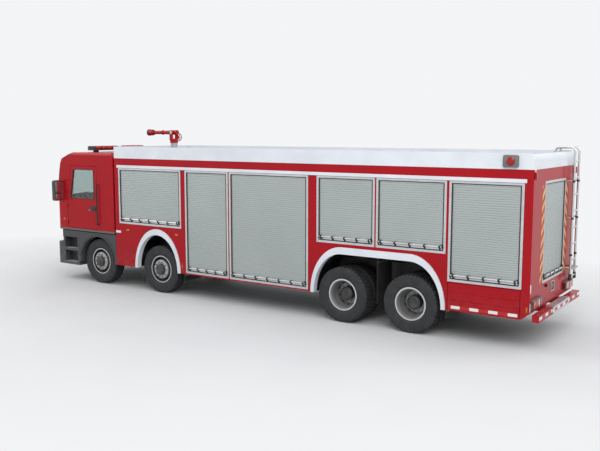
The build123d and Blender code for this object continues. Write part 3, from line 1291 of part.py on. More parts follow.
def make_cab():
    """The cab's panels: floor, front, sides, roof and back, and the two doors."""
    outer = cab_block(0)
    shell = outer - cab_block(CAB_WALL)
    # opening for the windscreen
    shell -= box(
        CAB_PANEL_X, CAB_NOSE_X + 10, -WINDSCREEN_HALF_WIDTH, WINDSCREEN_HALF_WIDTH,
        WINDSCREEN_BOTTOM_Z, WINDSCREEN_TOP_Z,
    )
    side_cut = slab(door_outline(DOOR_GAP), HALF_WIDTH - CAB_WALL - 10, HALF_WIDTH + 10)
    shell = shell - side_cut - other_side(side_cut)
    far = 4 * LENGTH
    low_zone = box(-far, CAB_PIVOT_X + CAB_EAR_RADIUS + 3, -far, far, 0, FLOOR_TOP_Z)
    roof_zone = box(-far, far, -far, far, CAB_HEADER_Z, far)
    front_zone = box(CAB_PANEL_X, far, -far, far, 0, CAB_HEADER_Z)
    back_zone = box(-far, CAB_REAR_X + CAB_WALL, -far, far, FLOOR_TOP_Z, CAB_HEADER_Z)
    floor = shell & low_zone
    roof = shell & roof_zone
    front = (shell & front_zone) - low_zone
    back = shell & back_zone
    sides = shell - low_zone - roof_zone - front_zone - back_zone

    # the floor's tunnel over the engine, open below
    tunnel_y = ENGINE_HALF_WIDTH + ENGINE_TUNNEL_GAP
    tunnel_z = ENGINE_TOP_Z + ENGINE_TUNNEL_GAP
    tunnel_x0 = CAB_REAR_X + CAB_WALL
    tunnel_x1 = ENGINE_FRONT_X + ENGINE_TUNNEL_GAP
    wall = ENGINE_TUNNEL_WALL
    floor -= box(tunnel_x0, tunnel_x1, -tunnel_y, tunnel_y, 0, FLOOR_TOP_Z + 1)
    hood = box(
        tunnel_x0, tunnel_x1 + wall, -tunnel_y - wall, tunnel_y + wall,
        FLOOR_TOP_Z + SEAT_GAP, tunnel_z + wall,
    )
    hood -= box(tunnel_x0 - 1, tunnel_x1, -tunnel_y, tunnel_y, FLOOR_TOP_Z, tunnel_z)
    ear_y0 = RAIL_OUTER_Y + 6
    ear_y1 = RAIL_OUTER_Y + 60
    ear = box(
        CAB_PIVOT_X - CAB_EAR_RADIUS, CAB_PIVOT_X + CAB_EAR_RADIUS, ear_y0, ear_y1,
        CAB_PIVOT_Z, CAB_FLOOR_BOTTOM_Z - SEAT_GAP,
    )
    ear += round_y(CAB_EAR_RADIUS, ear_y0, ear_y1, CAB_PIVOT_X, CAB_PIVOT_Z)
    ear -= round_y(CAB_PIVOT_RADIUS + 0.5, ear_y0 - 5, ear_y1 + 5, CAB_PIVOT_X, CAB_PIVOT_Z)
    pedestal = box(
        SEAT_X - 170, SEAT_X + 190, SEAT_Y - 180, SEAT_Y + 180,
        FLOOR_TOP_Z + SEAT_GAP, SEAT_CUSHION_Z - SEAT_GAP,
    )
    # the front panel's lip below the floor
    front += box(
        CAB_NOSE_X - CAB_LIP_WALL, CAB_NOSE_X, -HALF_WIDTH + CAB_CORNER_RADIUS, HALF_WIDTH - CAB_CORNER_RADIUS,
        CAB_LIP_BOTTOM_Z, FLOOR_TOP_Z,
    )
    # recess for the grille
    front -= box(
        CAB_NOSE_X - GRILLE_RECESS, CAB_NOSE_X + 10, -GRILLE_HALF_WIDTH, GRILLE_HALF_WIDTH,
        GRILLE_BOTTOM_Z, GRILLE_TOP_Z,
    )

    # seam of the service flap above the grille
    flap_z = GRILLE_TOP_Z + FLAP_SEAM_RISE
    flap_y = HALF_WIDTH - CAB_CORNER_RADIUS - 10
    front -= box(CAB_NOSE_X - FLAP_SEAM_DEPTH, CAB_NOSE_X + 1, -flap_y, flap_y, flap_z, flap_z + FLAP_SEAM)
    for side in (1, -1):
        front -= box(
            CAB_NOSE_X - FLAP_SEAM_DEPTH, CAB_NOSE_X + 1, side * flap_y, side * (flap_y - FLAP_SEAM),
            CAB_LIP_BOTTOM_Z - 1, flap_z + 1,
        )

    door_zone = slab(door_outline(0), HALF_WIDTH - DOOR_WALL, HALF_WIDTH)
    door = door_zone - slab(window_outline(), HALF_WIDTH - DOOR_WALL - 1, HALF_WIDTH + 1)
    glass_y = HALF_WIDTH - DOOR_WALL * 0.4
    glass = slab(window_outline(), glass_y - GLASS_WALL, glass_y)
    axis_x = DOOR_FRONT_X + DOOR_GAP / 2
    axis_y = HALF_WIDTH + HINGE_RADIUS + 1
    for z in HINGE_Z:
        half = HINGE_LENGTH / 2
        leaf_y = HALF_WIDTH + HINGE_LEAF
        door += round_z(HINGE_RADIUS, z, z + half, axis_x, axis_y)
        door += box(axis_x - 70, axis_x, HALF_WIDTH - 1, leaf_y, z, z + half)
        pillar = round_z(HINGE_RADIUS, z - half - SEAT_GAP, z - SEAT_GAP, axis_x, axis_y)
        pillar += box(axis_x, axis_x + 60, HALF_WIDTH - 1, leaf_y, z - half - SEAT_GAP, z - SEAT_GAP)
        pillar -= door_zone
        sides = sides + pillar + other_side(pillar)
    door += box(
        DOOR_REAR_X + 60, DOOR_REAR_X + 220, HALF_WIDTH - 1, HALF_WIDTH + 22,
        DOOR_HANDLE_Z - 35, DOOR_HANDLE_Z,
    )

    save("cab_floor", floor, hood, *both_sides(ear), *both_sides(pedestal))
    save("cab_front", front)
    save("cab_sides", sides)
    save("cab_roof", roof)
    save("cab_back", back)
    save("door_left", door)
    save("door_right", other_side(door))
    save("door_glass_left", glass)
    save("door_glass_right", other_side(glass))
    slope = CAB_HEADER_SETBACK / (CAB_HEADER_Z - CAB_BELT_Z)
    low_x = CAB_NOSE_X - 22 - (WINDSCREEN_BOTTOM_Z - CAB_BELT_Z) * slope
    high_x = CAB_NOSE_X - 22 - (WINDSCREEN_TOP_Z - CAB_BELT_Z) * slope
    pane = slab(
        [
            (low_x, WINDSCREEN_BOTTOM_Z),
            (high_x, WINDSCREEN_TOP_Z),
            (high_x - GLASS_WALL, WINDSCREEN_TOP_Z),
            (low_x - GLASS_WALL, WINDSCREEN_BOTTOM_Z),
        ],
        -WINDSCREEN_HALF_WIDTH, WINDSCREEN_HALF_WIDTH,
    )
    save("windscreen", pane)


FLAP_SEAM = 7
FLAP_SEAM_DEPTH = 6
FLAP_SEAM_RISE = 70
GRILLE_RECESS = 26
GRILLE_HALF_WIDTH = 820
GRILLE_BOTTOM_Z = 1120
GRILLE_TOP_Z = 1660
GRILLE_FRAME = 40
GRILLE_BAR_COUNT = 5
GRILLE_BAR_HEIGHT = 46


def make_grille():
    """Black grille set into the nose: a frame round evenly spaced bars."""
    back_x = CAB_NOSE_X - GRILLE_RECESS
    front_x = CAB_NOSE_X + 14
    half = GRILLE_HALF_WIDTH
    grille = box(back_x, front_x, -half, half, GRILLE_BOTTOM_Z, GRILLE_TOP_Z)
    edge = GRILLE_FRAME
    grille -= box(
        back_x + 8, front_x + 1, -half + edge, half - edge,
        GRILLE_BOTTOM_Z + edge, GRILLE_TOP_Z - edge,
    )
    space = GRILLE_TOP_Z - GRILLE_BOTTOM_Z - 2 * edge
    pitch = space / GRILLE_BAR_COUNT
    for row in range(GRILLE_BAR_COUNT):
        low = GRILLE_BOTTOM_Z + edge + (row + 0.5) * pitch - GRILLE_BAR_HEIGHT / 2
        grille += box(back_x + 7, front_x - 4, -half + edge - 1, half - edge + 1, low, low + GRILLE_BAR_HEIGHT)
    return grille


SEAT_X = CAB_NOSE_X - 1150
SEAT_Y = 720
SEAT_CUSHION_Z = 1560
SEAT_CUSHION_WALL = 110
SEAT_HALF_WIDTH = 250
SEAT_BACK_HEIGHT = 720
DASH_BACK_X = CAB_NOSE_X - CAB_WALL - 480
DASH_TOP_Z = 1980
WHEEL_HUB_Z = 2010
STEERING_RADIUS = 225


def make_seats():
    """Two seats: cushion, back and head rest each, and the bunk behind them."""
    pieces = []
    for side in (1, -1):
        y0 = side * SEAT_Y - SEAT_HALF_WIDTH
        y1 = side * SEAT_Y + SEAT_HALF_WIDTH
        low = SEAT_CUSHION_Z
        top = low + SEAT_CUSHION_WALL
        seat = box(SEAT_X - 250, SEAT_X + 250, y0, y1, low, top)
        seat += slab(
            [
                (SEAT_X - 250, top - 20),
                (SEAT_X - 130, top - 20),
                (SEAT_X - 230, top + SEAT_BACK_HEIGHT),
                (SEAT_X - 330, top + SEAT_BACK_HEIGHT),
            ],
            y0, y1,
        )
        seat += box(
            SEAT_X - 335, SEAT_X - 240, side * SEAT_Y - 140, side * SEAT_Y + 140,
            top + SEAT_BACK_HEIGHT - 5, top + SEAT_BACK_HEIGHT + 170,
        )
        pieces.append(seat)
    return pieces


def make_dashboard():
    """Dashboard across the cab with the steering wheel on its column."""
    front = CAB_NOSE_X - CAB_WALL
    outline = [
        (front, FLOOR_TOP_Z + 330),
        (front, DASH_TOP_Z - 60),
        (front - 160, DASH_TOP_Z),
        (DASH_BACK_X + 60, DASH_TOP_Z - 20),
        (DASH_BACK_X, DASH_TOP_Z - 120),
        (DASH_BACK_X + 120, FLOOR_TOP_Z + 380),
    ]
    half = HALF_WIDTH - CAB_CORNER_RADIUS
    dash = slab(outline, -half, half)
    wheel_x = DASH_BACK_X - 130
    place = Pos(wheel_x, SEAT_Y, WHEEL_HUB_Z - 60) * Rot(0, -35, 0)
    rim = place * Torus(STEERING_RADIUS, 16)
    hub = place * Cylinder(60, 40)
    spokes = place * Box(30, 2 * STEERING_RADIUS - 10, 16)
    spokes += place * Pos(STEERING_RADIUS / 2, 0, 0) * Box(STEERING_RADIUS, 30, 16)
    column = place * Pos(0, 0, -220) * Cylinder(35, 440)
    return dash + rim + hub + spokes + column


MIRROR_LOW_Z = CAB_BELT_Z - 20
MIRROR_TOP_Z = MIRROR_LOW_Z + 490


def make_mirrors():
    """Mirror housings on two arms each, from the windscreen pillars."""
    x = CAB_PANEL_X + 60
    head = box(x, x + 90, HALF_WIDTH + 60, HALF_WIDTH + 270, MIRROR_LOW_Z, MIRROR_TOP_Z)
    head = fillet(head.edges().filter_by(Axis.X), 40)
    for z in (MIRROR_LOW_Z + 20, MIRROR_TOP_Z - 40):
        head += box(x + 25, x + 55, HALF_WIDTH, HALF_WIDTH + 70, z - 15, z + 15)
    return both_sides(head)


def make_light_bar():
    """Warning light bar on the cab's roof, on two feet."""
    x = CAB_ROOF_LIGHT_X
    bar = box(x - 150, x + 150, -800, 800, CAB_ROOF_Z + 40, CAB_ROOF_Z + 150)
    bar = fillet(bar.edges().filter_by(Axis.Y), 30)
    for side in (1, -1):
        bar += box(x - 60, x + 60, side * 620, side * 700, CAB_ROOF_Z, CAB_ROOF_Z + 45)
    return bar


CAB_ROOF_LIGHT_X = CAB_NOSE_X - CAB_HEADER_SETBACK - CAB_ROOF_SLOPE - 200
BUMPER_BACK_X = FRONT_X - 260
BUMPER_WALL = 80
FRONT_BUMPER_LOW_Z = 380
FRONT_BUMPER_TOP_Z = 905
HEADLAMP_LOW_Z = 560
HEADLAMP_TOP_Z = 780
HEADLAMP_INNER_Y = 800
HEADLAMP_OUTER_Y = 1060
HEADLAMP_DEPTH = 50
FOG_LAMP_RADIUS = 48
FOG_LAMP_DEPTH = 34
FOG_LAMP_Z = 480
INTAKE_HALF_WIDTH = 560
INTAKE_LOW_Z = 425
INTAKE_HEIGHT = 42
INTAKE_BAR = 22
INTAKE_DEPTH = 40


def make_front_bumper():
    """Bumper round the nose with lamp recesses, number plate left bare, on two frame brackets."""
    corner = CAB_CORNER_RADIUS
    block = box(BUMPER_BACK_X, FRONT_X, -HALF_WIDTH, HALF_WIDTH, FRONT_BUMPER_LOW_Z, FRONT_BUMPER_TOP_Z)
    block = fillet(block.edges().filter_by(Axis.Z).group_by(Axis.X)[-1], corner)
    block -= box(
        BUMPER_BACK_X - 1, FRONT_X - BUMPER_WALL, -HALF_WIDTH + 60, HALF_WIDTH - 60,
        FRONT_BUMPER_LOW_Z - 1, FRONT_BUMPER_TOP_Z + 1,
    )
    for side in (1, -1):
        block -= box(
            FRONT_X - HEADLAMP_DEPTH, FRONT_X + 1, side * HEADLAMP_INNER_Y, side * HEADLAMP_OUTER_Y,
            HEADLAMP_LOW_Z, HEADLAMP_TOP_Z,
        )
        block -= round_x(
            FOG_LAMP_RADIUS, FRONT_X - FOG_LAMP_DEPTH, FRONT_X + 1,
            side * (HEADLAMP_INNER_Y + HEADLAMP_OUTER_Y) / 2, FOG_LAMP_Z,
        )
    for low in (INTAKE_LOW_Z, INTAKE_LOW_Z + INTAKE_HEIGHT + INTAKE_BAR):
        block -= box(
            FRONT_X - INTAKE_DEPTH, FRONT_X + 1, -INTAKE_HALF_WIDTH, INTAKE_HALF_WIDTH,
            low, low + INTAKE_HEIGHT,
        )
    bracket = box(
        FRAME_FRONT_X + SEAT_GAP, FRONT_X - BUMPER_WALL - SEAT_GAP, RAIL_INNER_Y, RAIL_OUTER_Y,
        HEADLAMP_LOW_Z + 40, RAIL_BOTTOM_Z + 50,
    )
    # the tow eye hangs below the middle
    half = TOW_EYE_WALL / 2
    eye = box(FRONT_X - 75, FRONT_X - 10, -half, half, TOW_EYE_Z, FRONT_BUMPER_LOW_Z - SEAT_GAP)
    eye += round_y(TOW_EYE_RADIUS, -half, half, TOW_EYE_X, TOW_EYE_Z)
    eye -= round_y(TOW_BORE_RADIUS, -half - 1, half + 1, TOW_EYE_X, TOW_EYE_Z)
    return [block, eye] + both_sides(bracket)


TOW_EYE_WALL = 40
TOW_EYE_RADIUS = 45
TOW_BORE_RADIUS = 20
TOW_EYE_X = FRONT_X - 55
TOW_EYE_Z = FRONT_BUMPER_LOW_Z - 50


def make_headlamps():
    lamp = box(
        FRONT_X - HEADLAMP_DEPTH, FRONT_X - 6, HEADLAMP_INNER_Y, HEADLAMP_OUTER_Y,
        HEADLAMP_LOW_Z, HEADLAMP_TOP_Z,
    )
    return both_sides(lamp)


def make_cab_steps():
    """Step wells under the doors, each with two treads, held by a bracket from the rail."""
    x0 = GUARD_FRONT_X + 6
    x1 = BUMPER_BACK_X - 4
    inner = HALF_WIDTH - 245
    steps = box(x0, x1, inner, HALF_WIDTH, FRONT_BUMPER_LOW_Z, GUARD_TOP_Z)
    for low in (FRONT_BUMPER_LOW_Z + 70, FRONT_BUMPER_LOW_Z + 400):
        steps -= box(x0 + 60, x1 - 60, inner + 40, HALF_WIDTH + 1, low, low + 270)
    steps += box(x0 + 60, x0 + 160, RAIL_OUTER_Y, inner + 1, RAIL_TOP_Z - 220, RAIL_TOP_Z - 60)
    return both_sides(steps)


def make_engine():
    return box(
        ENGINE_REAR_X, ENGINE_FRONT_X, -ENGINE_HALF_WIDTH, ENGINE_HALF_WIDTH,
        ENGINE_BOTTOM_Z, ENGINE_TOP_Z,
    )


NODES = {
    "chassis_frame": make_chassis_frame,
    "leaf_springs": make_springs,
    "steer_axles": make_steer_axles,
    "drive_axles": make_drive_axles,
    "engine_block": lambda: [make_engine()],
    "air_tanks": make_tanks,
    "heat_shield": lambda: [make_heat_shield()],
    "mudguards": lambda: make_mudguards() + make_cab_steps(),
    "mudflaps": make_mudflaps,
    "front_bumper": make_front_bumper,
    "body_shell": lambda: [make_body_shell()],
    "wheel_arches": make_arches,
    "body_fascia": make_fascia,
    "roof_deck": make_roof_deck,
    "hatch_lid": lambda: [make_hatch_lid()],
    "monitor_turret": lambda: [make_monitor_turret()],
    "monitor_barrel": lambda: [make_monitor_barrel()],
    "rear_bumper": lambda: [make_rear_bumper()],
    "tail_fittings": make_tail_fittings,
    "lamps": lambda: make_headlamps() + make_tail_lamps(),
    "ladder": lambda: [make_ladder()],
    "fold_step_left": lambda: [make_fold_step()],
    "fold_step_right": lambda: [other_side(make_fold_step())],
    "grille": lambda: [make_grille()],
    "cab_seats": make_seats,
    "dashboard": lambda: [make_dashboard()],
    "mirrors": make_mirrors,
    "light_bar": lambda: [make_light_bar()],
}

for node_name, make_pieces in NODES.items():
    save(node_name, *make_pieces())
curtains, curtain_frames = make_shutters()
save("shutters", *curtains)
save("shutter_frames", *curtain_frames)
make_wheels()
make_cab()
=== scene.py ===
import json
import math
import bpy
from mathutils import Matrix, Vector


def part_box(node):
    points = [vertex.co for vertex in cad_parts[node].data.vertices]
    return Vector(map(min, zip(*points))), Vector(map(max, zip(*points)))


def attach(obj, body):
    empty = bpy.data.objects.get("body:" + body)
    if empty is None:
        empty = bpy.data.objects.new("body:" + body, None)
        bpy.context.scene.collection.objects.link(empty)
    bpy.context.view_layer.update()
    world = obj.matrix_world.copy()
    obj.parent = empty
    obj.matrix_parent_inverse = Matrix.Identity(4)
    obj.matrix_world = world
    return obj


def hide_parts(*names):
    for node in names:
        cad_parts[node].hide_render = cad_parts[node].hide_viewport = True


bl_info = {
    "name": "Water Tanker Fire Truck",
    "version": (1, 0, 0),
    "blender": (4, 5, 0),
    "location": "View3D > Sidebar > Fire Truck",
    "description": "Dresses the truck with paint, shutters, tyres, lamps and markings",
    "category": "Object",
}

import bmesh
import bpy
from mathutils import Matrix, Vector

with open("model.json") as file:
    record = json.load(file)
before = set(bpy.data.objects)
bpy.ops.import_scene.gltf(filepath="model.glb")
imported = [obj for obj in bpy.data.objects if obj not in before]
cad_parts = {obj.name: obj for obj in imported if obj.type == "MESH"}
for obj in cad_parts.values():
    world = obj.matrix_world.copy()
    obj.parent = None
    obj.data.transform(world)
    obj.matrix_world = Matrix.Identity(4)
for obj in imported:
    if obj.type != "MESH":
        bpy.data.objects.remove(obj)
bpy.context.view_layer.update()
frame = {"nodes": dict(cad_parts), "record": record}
NODES = frame["nodes"]
BODY_OF = {node: body for body, nodes in frame["record"]["behaviour"]["bodies"].items() for node in nodes}
SIDES = (("left", 1), ("right", -1))
UP = (0.0, 0.0, 1.0)
BACK = (-1.0, 0.0, 0.0)


def operation(name):
    """A method that runs one operation of the Math node on a value and, where it has one, another."""
    return lambda self, other=0.0: self.math(name, self, other)


class Value:
    """A socket's value, so that shader and geometry maths reads as an expression."""

    def __init__(self, tree, socket):
        self.tree = tree
        self.socket = socket

    def math(self, name, first, second):
        node = self.tree.nodes.new("ShaderNodeMath")
        node.operation = name
        for place, value in enumerate((first, second)):
            if isinstance(value, Value):
                self.tree.links.new(value.socket, node.inputs[place])
            else:
                node.inputs[place].default_value = value
        return Value(self.tree, node.outputs[0])

    def __rsub__(self, other):
        return self.math("SUBTRACT", other, self)

    __add__ = __radd__ = operation("ADD")
    __sub__ = operation("SUBTRACT")
    __mul__ = __rmul__ = operation("MULTIPLY")
    __truediv__ = operation("DIVIDE")
    __mod__ = operation("FLOORED_MODULO")
    __pow__ = operation("POWER")
    __gt__ = operation("GREATER_THAN")
    __lt__ = operation("LESS_THAN")
    __or__ = operation("MAXIMUM")
    __and__ = operation("MINIMUM")
    __abs__ = operation("ABSOLUTE")
    sine = operation("SINE")


def add_node(tree, kind, settings, out, sockets):
    """Adds a node of that kind, sets it up, fills its sockets by name and gives one output."""
    node = tree.nodes.new(kind)
    for key, value in (settings or {}).items():
        setattr(node, key, value)
    for key, value in sockets.items():
        socket = node.inputs[key.replace("_", " ")]
        if isinstance(value, Value):
            tree.links.new(value.socket, socket)
        else:
            socket.default_value = value
    return Value(tree, node.outputs[out])


class Finish:
    """One material: its Principled shader and the nodes that feed it."""

    def __init__(self, name, colour=(0.5, 0.5, 0.5), **settings):
        self.material = bpy.data.materials.new(name)
        self.material.use_nodes = True
        self.tree = self.material.node_tree
        self.tree.nodes.clear()
        self.output = self.tree.nodes.new("ShaderNodeOutputMaterial")
        self.shader = self.tree.nodes.new("ShaderNodeBsdfPrincipled")
        self.tree.links.new(self.shader.outputs[0], self.output.inputs[0])
        self.shader.inputs["Base Color"].default_value = (*colour, 1.0)
        for key, value in settings.items():
            title = key.replace("_", " ").title().replace("Ior", "IOR")
            self.shader.inputs[title].default_value = value

    def node(self, kind, settings=None, out=0, **sockets):
        return add_node(self.tree, kind, settings, out, sockets)

    def feed(self, name, value):
        """Gives a socket of the shader a value, computed or plain."""
        if isinstance(value, Value):
            self.tree.links.new(value.socket, self.shader.inputs[name])
        else:
            self.shader.inputs[name].default_value = value

    def place(self):
        """Object coordinates, which are the truck's own."""
        return self.node("ShaderNodeTexCoord", out="Object")

    def axes(self):
        split = self.tree.nodes.new("ShaderNodeSeparateXYZ")
        self.tree.links.new(self.place().socket, split.inputs[0])
        return [Value(self.tree, split.outputs[axis]) for axis in range(3)]

    def noise(self, scale, detail=4.0, rough=0.55):
        return self.node(
            "ShaderNodeTexNoise", Vector=self.place(), Scale=scale, Detail=detail, Roughness=rough
        )

    def drawn(self, scale, detail):
        """Noise with a scale for each axis, for a drawn grain."""
        stretched = self.node("ShaderNodeMapping", Vector=self.place(), Scale=scale)
        return self.node("ShaderNodeTexNoise", Vector=stretched, Scale=1.0, Detail=detail)

    def cells(self, scale):
        """The distance from the nearest edge between cells."""
        return self.node(
            "ShaderNodeTexVoronoi", {"feature": "DISTANCE_TO_EDGE"}, Vector=self.place(), Scale=scale
        )

    def ramp(self, value, low, high):
        """0 below low, 1 above high, straight between."""
        return self.node("ShaderNodeMapRange", Value=value, From_Min=low, From_Max=high)

    def mix(self, mask, first, second):
        """A colour between first and second by the mask."""
        node = self.tree.nodes.new("ShaderNodeMix")
        node.data_type = "RGBA"
        self.tree.links.new(mask.socket, node.inputs["Factor"])
        for socket, value in ((node.inputs[6], first), (node.inputs[7], second)):
            if isinstance(value, Value):
                self.tree.links.new(value.socket, socket)
            else:
                socket.default_value = (*value, 1.0)
        return Value(self.tree, node.outputs[2])

    def vary(self, value, low, high, colour, dark, pale):
        """From a darker to a paler shade of the colour as the value goes from low to high."""
        return self.mix(self.ramp(value, low, high), shade(colour, dark), shade(colour, pale))

    def done(self, colour, rough, height=None, distance=0.0, strength=1.0, metallic=None):
        """Feeds the shader, with a bump where a height is given, and returns the material."""
        self.feed("Base Color", colour)
        self.feed("Roughness", rough)
        if metallic is not None:
            self.feed("Metallic", metallic)
        if height is not None:
            bump = self.node("ShaderNodeBump", Height=height, Distance=distance, Strength=strength)
            self.feed("Normal", bump)
        return self.material


def shade(colour, factor):
    return tuple(min(1.0, part * factor) for part in colour)


DUST = (0.30, 0.27, 0.23)


def dusty(finish, base, low=0.35, high=1.0, amount=0.35):
    """Road dust that thins out upwards, broken up by noise."""
    height = finish.axes()[2]
    fade = 1.0 - finish.ramp(height, low, high)
    mask = fade * finish.ramp(finish.noise(9.0), 0.35, 0.7) * amount
    return finish.mix(mask, base, DUST), mask


WELL_TOP = 1.32
SKIN_WALL = 0.004
# Near black for the wells and the underside: partly undercoat, partly painted shade
UNDERCOAT_AND_SHADE = (0.012, 0.012, 0.013)


def behind_skin(finish):
    """1 inside the wheel wells and under the body, 0 on its outer faces. Where it is 1 the paint goes near
    black: partly undercoat, partly painted shade.
    """
    x, y, z = finish.axes()
    across = abs(y) < BODY_HIGH[1] - SKIN_WALL
    return across & (x > BODY_LOW[0] + SKIN_WALL) & (z < WELL_TOP)


def painted(name, colour, rough=0.28, coat=0.16, dust=0.1, wells=False):
    """Gloss vehicle paint: clear coat, faint orange peel, uneven gloss and a dusty lower edge."""
    finish = Finish(name, colour, coat_weight=coat, coat_roughness=0.05, specular_ior_level=0.12)
    broad = finish.noise(1.7, 3.0)
    tone = finish.vary(broad, 0.3, 0.75, colour, 0.92, 1.06)
    surface, mask = dusty(finish, tone, amount=dust)
    # painted shade, with undercoat: the wells and the underside go near black
    if wells:
        surface = finish.mix(behind_skin(finish), surface, UNDERCOAT_AND_SHADE)
    gloss = finish.ramp(broad, 0.2, 0.9) * 0.1 + rough + mask * 0.4
    return finish.done(surface, gloss, finish.noise(420.0, 2.0), 0.0004, 0.12)


def satin_paint(name, colour, rough=0.5, dust=0.6):
    """Chassis and wheel paint: satin, chipped to a paler tone and dusty low down."""
    finish = Finish(name, colour)
    fine = finish.noise(38.0, 6.0, 0.65)
    worn = finish.ramp(fine, 0.62, 0.72) * 0.5
    tone = finish.mix(worn, colour, shade(colour, 2.2))
    surface, mask = dusty(finish, tone, 0.2, 1.1, dust)
    return finish.done(surface, worn * 0.2 + rough + mask * 0.3, fine, 0.0015, 0.25)


def pressed_shield(name, colour):
    """Heat shield sheet: dull and mottled, with a painted highlight: a paler tone where its ribs and border
    stand proud.
    """
    finish = Finish(name, colour)
    face = -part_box("heat_shield")[0][1]
    mottle = finish.noise(14.0, 6.0, 0.6)
    tone = finish.vary(mottle, 0.35, 0.7, colour, 0.85, 1.15)
    proud = finish.ramp(abs(finish.axes()[1]), face - 0.005, face - 0.001)
    # painted highlight: a paler tone on the ribs and border that stand proud
    tone = finish.mix(proud * 0.75, tone, shade(colour, 2.1))
    surface = dusty(finish, tone, 0.4, 1.2, 0.25)[0]
    rough = mottle * 0.15 + 0.42
    return finish.done(surface, rough, finish.noise(90.0, 4.0), 0.0006, 0.2, metallic=0.3 - proud * 0.1)


def brushed(name, colour, rough=0.3, axis=2, dust=0.2):
    """Aluminium with a fine grain across one axis and faint handling marks."""
    finish = Finish(name, colour)
    scale = [6.0, 6.0, 6.0]
    scale[axis] = 700.0
    grain = finish.drawn(scale, 3.0)
    marks = finish.noise(5.0, 5.0)
    tone = finish.vary(marks, 0.3, 0.8, colour, 0.88, 1.08)
    surface, mask = dusty(finish, tone, amount=dust)
    return finish.done(surface, grain * 0.16 + rough + marks * 0.1, grain, 0.0003, 0.2, metallic=1.0 - mask)


def slat_alloy(name, colour):
    """Matt anodised slats: a drawn grain along each slat, tones that drift slowly, a dusty lower edge."""
    finish = Finish(name, colour)
    grain = finish.drawn((0.8, 0.8, 240.0), 2.0)
    drift = finish.noise(0.7, 2.0)
    tone = finish.vary(drift, 0.3, 0.7, colour, 0.96, 1.04)
    tone = finish.mix(grain * 0.25, tone, shade(colour, 0.8))
    surface, mask = dusty(finish, tone, 0.4, 1.1, 0.14)
    return finish.done(surface, grain * 0.12 + 0.4, grain, 0.0002, 0.15, metallic=0.55 - mask)


def tread_plate(name, colour):
    """Five-bar tread plate: short raised bars that turn by a right angle from cell to cell."""
    finish = Finish(name, colour, metallic=0.7)
    x, y = finish.axes()[:2]
    pitch = 0.034
    across = x / pitch
    along = y / pitch
    turn = (((across - across % 1.0) + (along - along % 1.0)) % 2.0) > 0.5
    u = (across % 1.0) - 0.5
    v = (along % 1.0) - 0.5
    p = u + v
    q = u - v
    long_way = turn * p + (1.0 - turn) * q
    short_way = turn * q + (1.0 - turn) * p
    ellipse = (long_way * 1.15) ** 2.0 + (short_way * 4.2) ** 2.0
    bar = 1.0 - finish.ramp(ellipse, 0.10, 0.34)
    marks = finish.noise(6.0, 6.0)
    tone = finish.vary(marks, 0.35, 0.75, colour, 0.9, 1.06)
    return finish.done(tone, 0.6 - bar * 0.15 + marks * 0.1, bar, 0.0012, 0.8)


def rubber(name, colour, rough=0.72):
    """Rubber with a fine grain and pale dust in it."""
    finish = Finish(name, colour)
    fine = finish.noise(300.0, 4.0)
    patches = finish.noise(7.0, 5.0)
    mask = finish.ramp(patches, 0.45, 0.8) * 0.22
    return finish.done(finish.mix(mask, colour, (0.13, 0.12, 0.11)), mask * 0.2 + rough, fine, 0.0006, 0.3)


def moulded(name, colour, rough=0.5, dust=0.3):
    """Moulded plastic with a leather-like grain."""
    finish = Finish(name, colour)
    grain = finish.ramp(finish.cells(350.0), 0.0, 0.25)
    tone = finish.mix(grain * 0.15, colour, shade(colour, 1.4))
    surface, mask = dusty(finish, tone, amount=dust)
    return finish.done(surface, grain * 0.08 + rough + mask * 0.2, grain, 0.0004, 0.3)


def lens(name, colour, glow=0.0):
    """Ribbed lamp lens: glossy, faintly lit from inside, with a prism grid behind the surface; where it is
    put on reflectors, which are no lamps, the faint glow is painted light.
    """
    finish = Finish(name, colour, coat_weight=0.4, coat_roughness=0.03, specular_ior_level=0.3)
    x, y, z = finish.axes()
    grid = abs((y * 70.0).sine()) * abs((z * 90.0).sine()) * abs((x * 70.0).sine() * 0.3 + 0.7)
    finish.feed("Emission Color", finish.mix(grid, shade(colour, 0.4), colour))
    finish.feed("Emission Strength", glow)
    base = finish.mix(grid, shade(colour, 0.55), shade(colour, 1.25))
    return finish.done(base, 0.18, grid, 0.001, 0.35)


def clear(name, colour):
    """Pane glass, slightly green, with a film of dust towards its lower edge."""
    finish = Finish(name, colour, transmission_weight=0.97, ior=1.45)
    tint = finish.mix(finish.noise(3.0), colour, shade(colour, 0.94))
    surface, mask = dusty(finish, tint, 1.9, 2.6, 0.05)
    return finish.done(surface, mask * 0.3 + 0.02)


def mirror_glass(name):
    finish = Finish(name, (0.85, 0.87, 0.88), metallic=1.0)
    finish.feed("Roughness", finish.ramp(finish.noise(12.0), 0.5, 0.9) * 0.12 + 0.02)
    return finish.material


def tape(name, colour):
    """Retroreflective tape: sealed hexagonal cells under a glossy film."""
    finish = Finish(name, colour, coat_weight=0.3, coat_roughness=0.08, specular_ior_level=0.3)
    inside = finish.ramp(finish.cells(260.0), 0.02, 0.12)
    return finish.done(
        finish.mix(inside, shade(colour, 0.72), colour), 0.5 - inside * 0.15, inside, 0.0002, 0.3
    )


def seat_cloth(name, colour):
    """Woven seat cloth: two thread directions with a fleck and a light sheen."""
    finish = Finish(name, colour, sheen_weight=0.3, sheen_roughness=0.5)
    x, y, z = finish.axes()
    warp = abs((y * 1800.0).sine())
    weft = abs(((x + z) * 1800.0).sine())
    weave = warp * 0.5 + weft * 0.5
    fleck = finish.ramp(finish.noise(240.0), 0.6, 0.7)
    base = finish.mix(weave * 0.5 + fleck * 0.5, shade(colour, 0.7), shade(colour, 1.9))
    return finish.done(base, 0.95 - weave * 0.15, weave, 0.0006, 0.5)


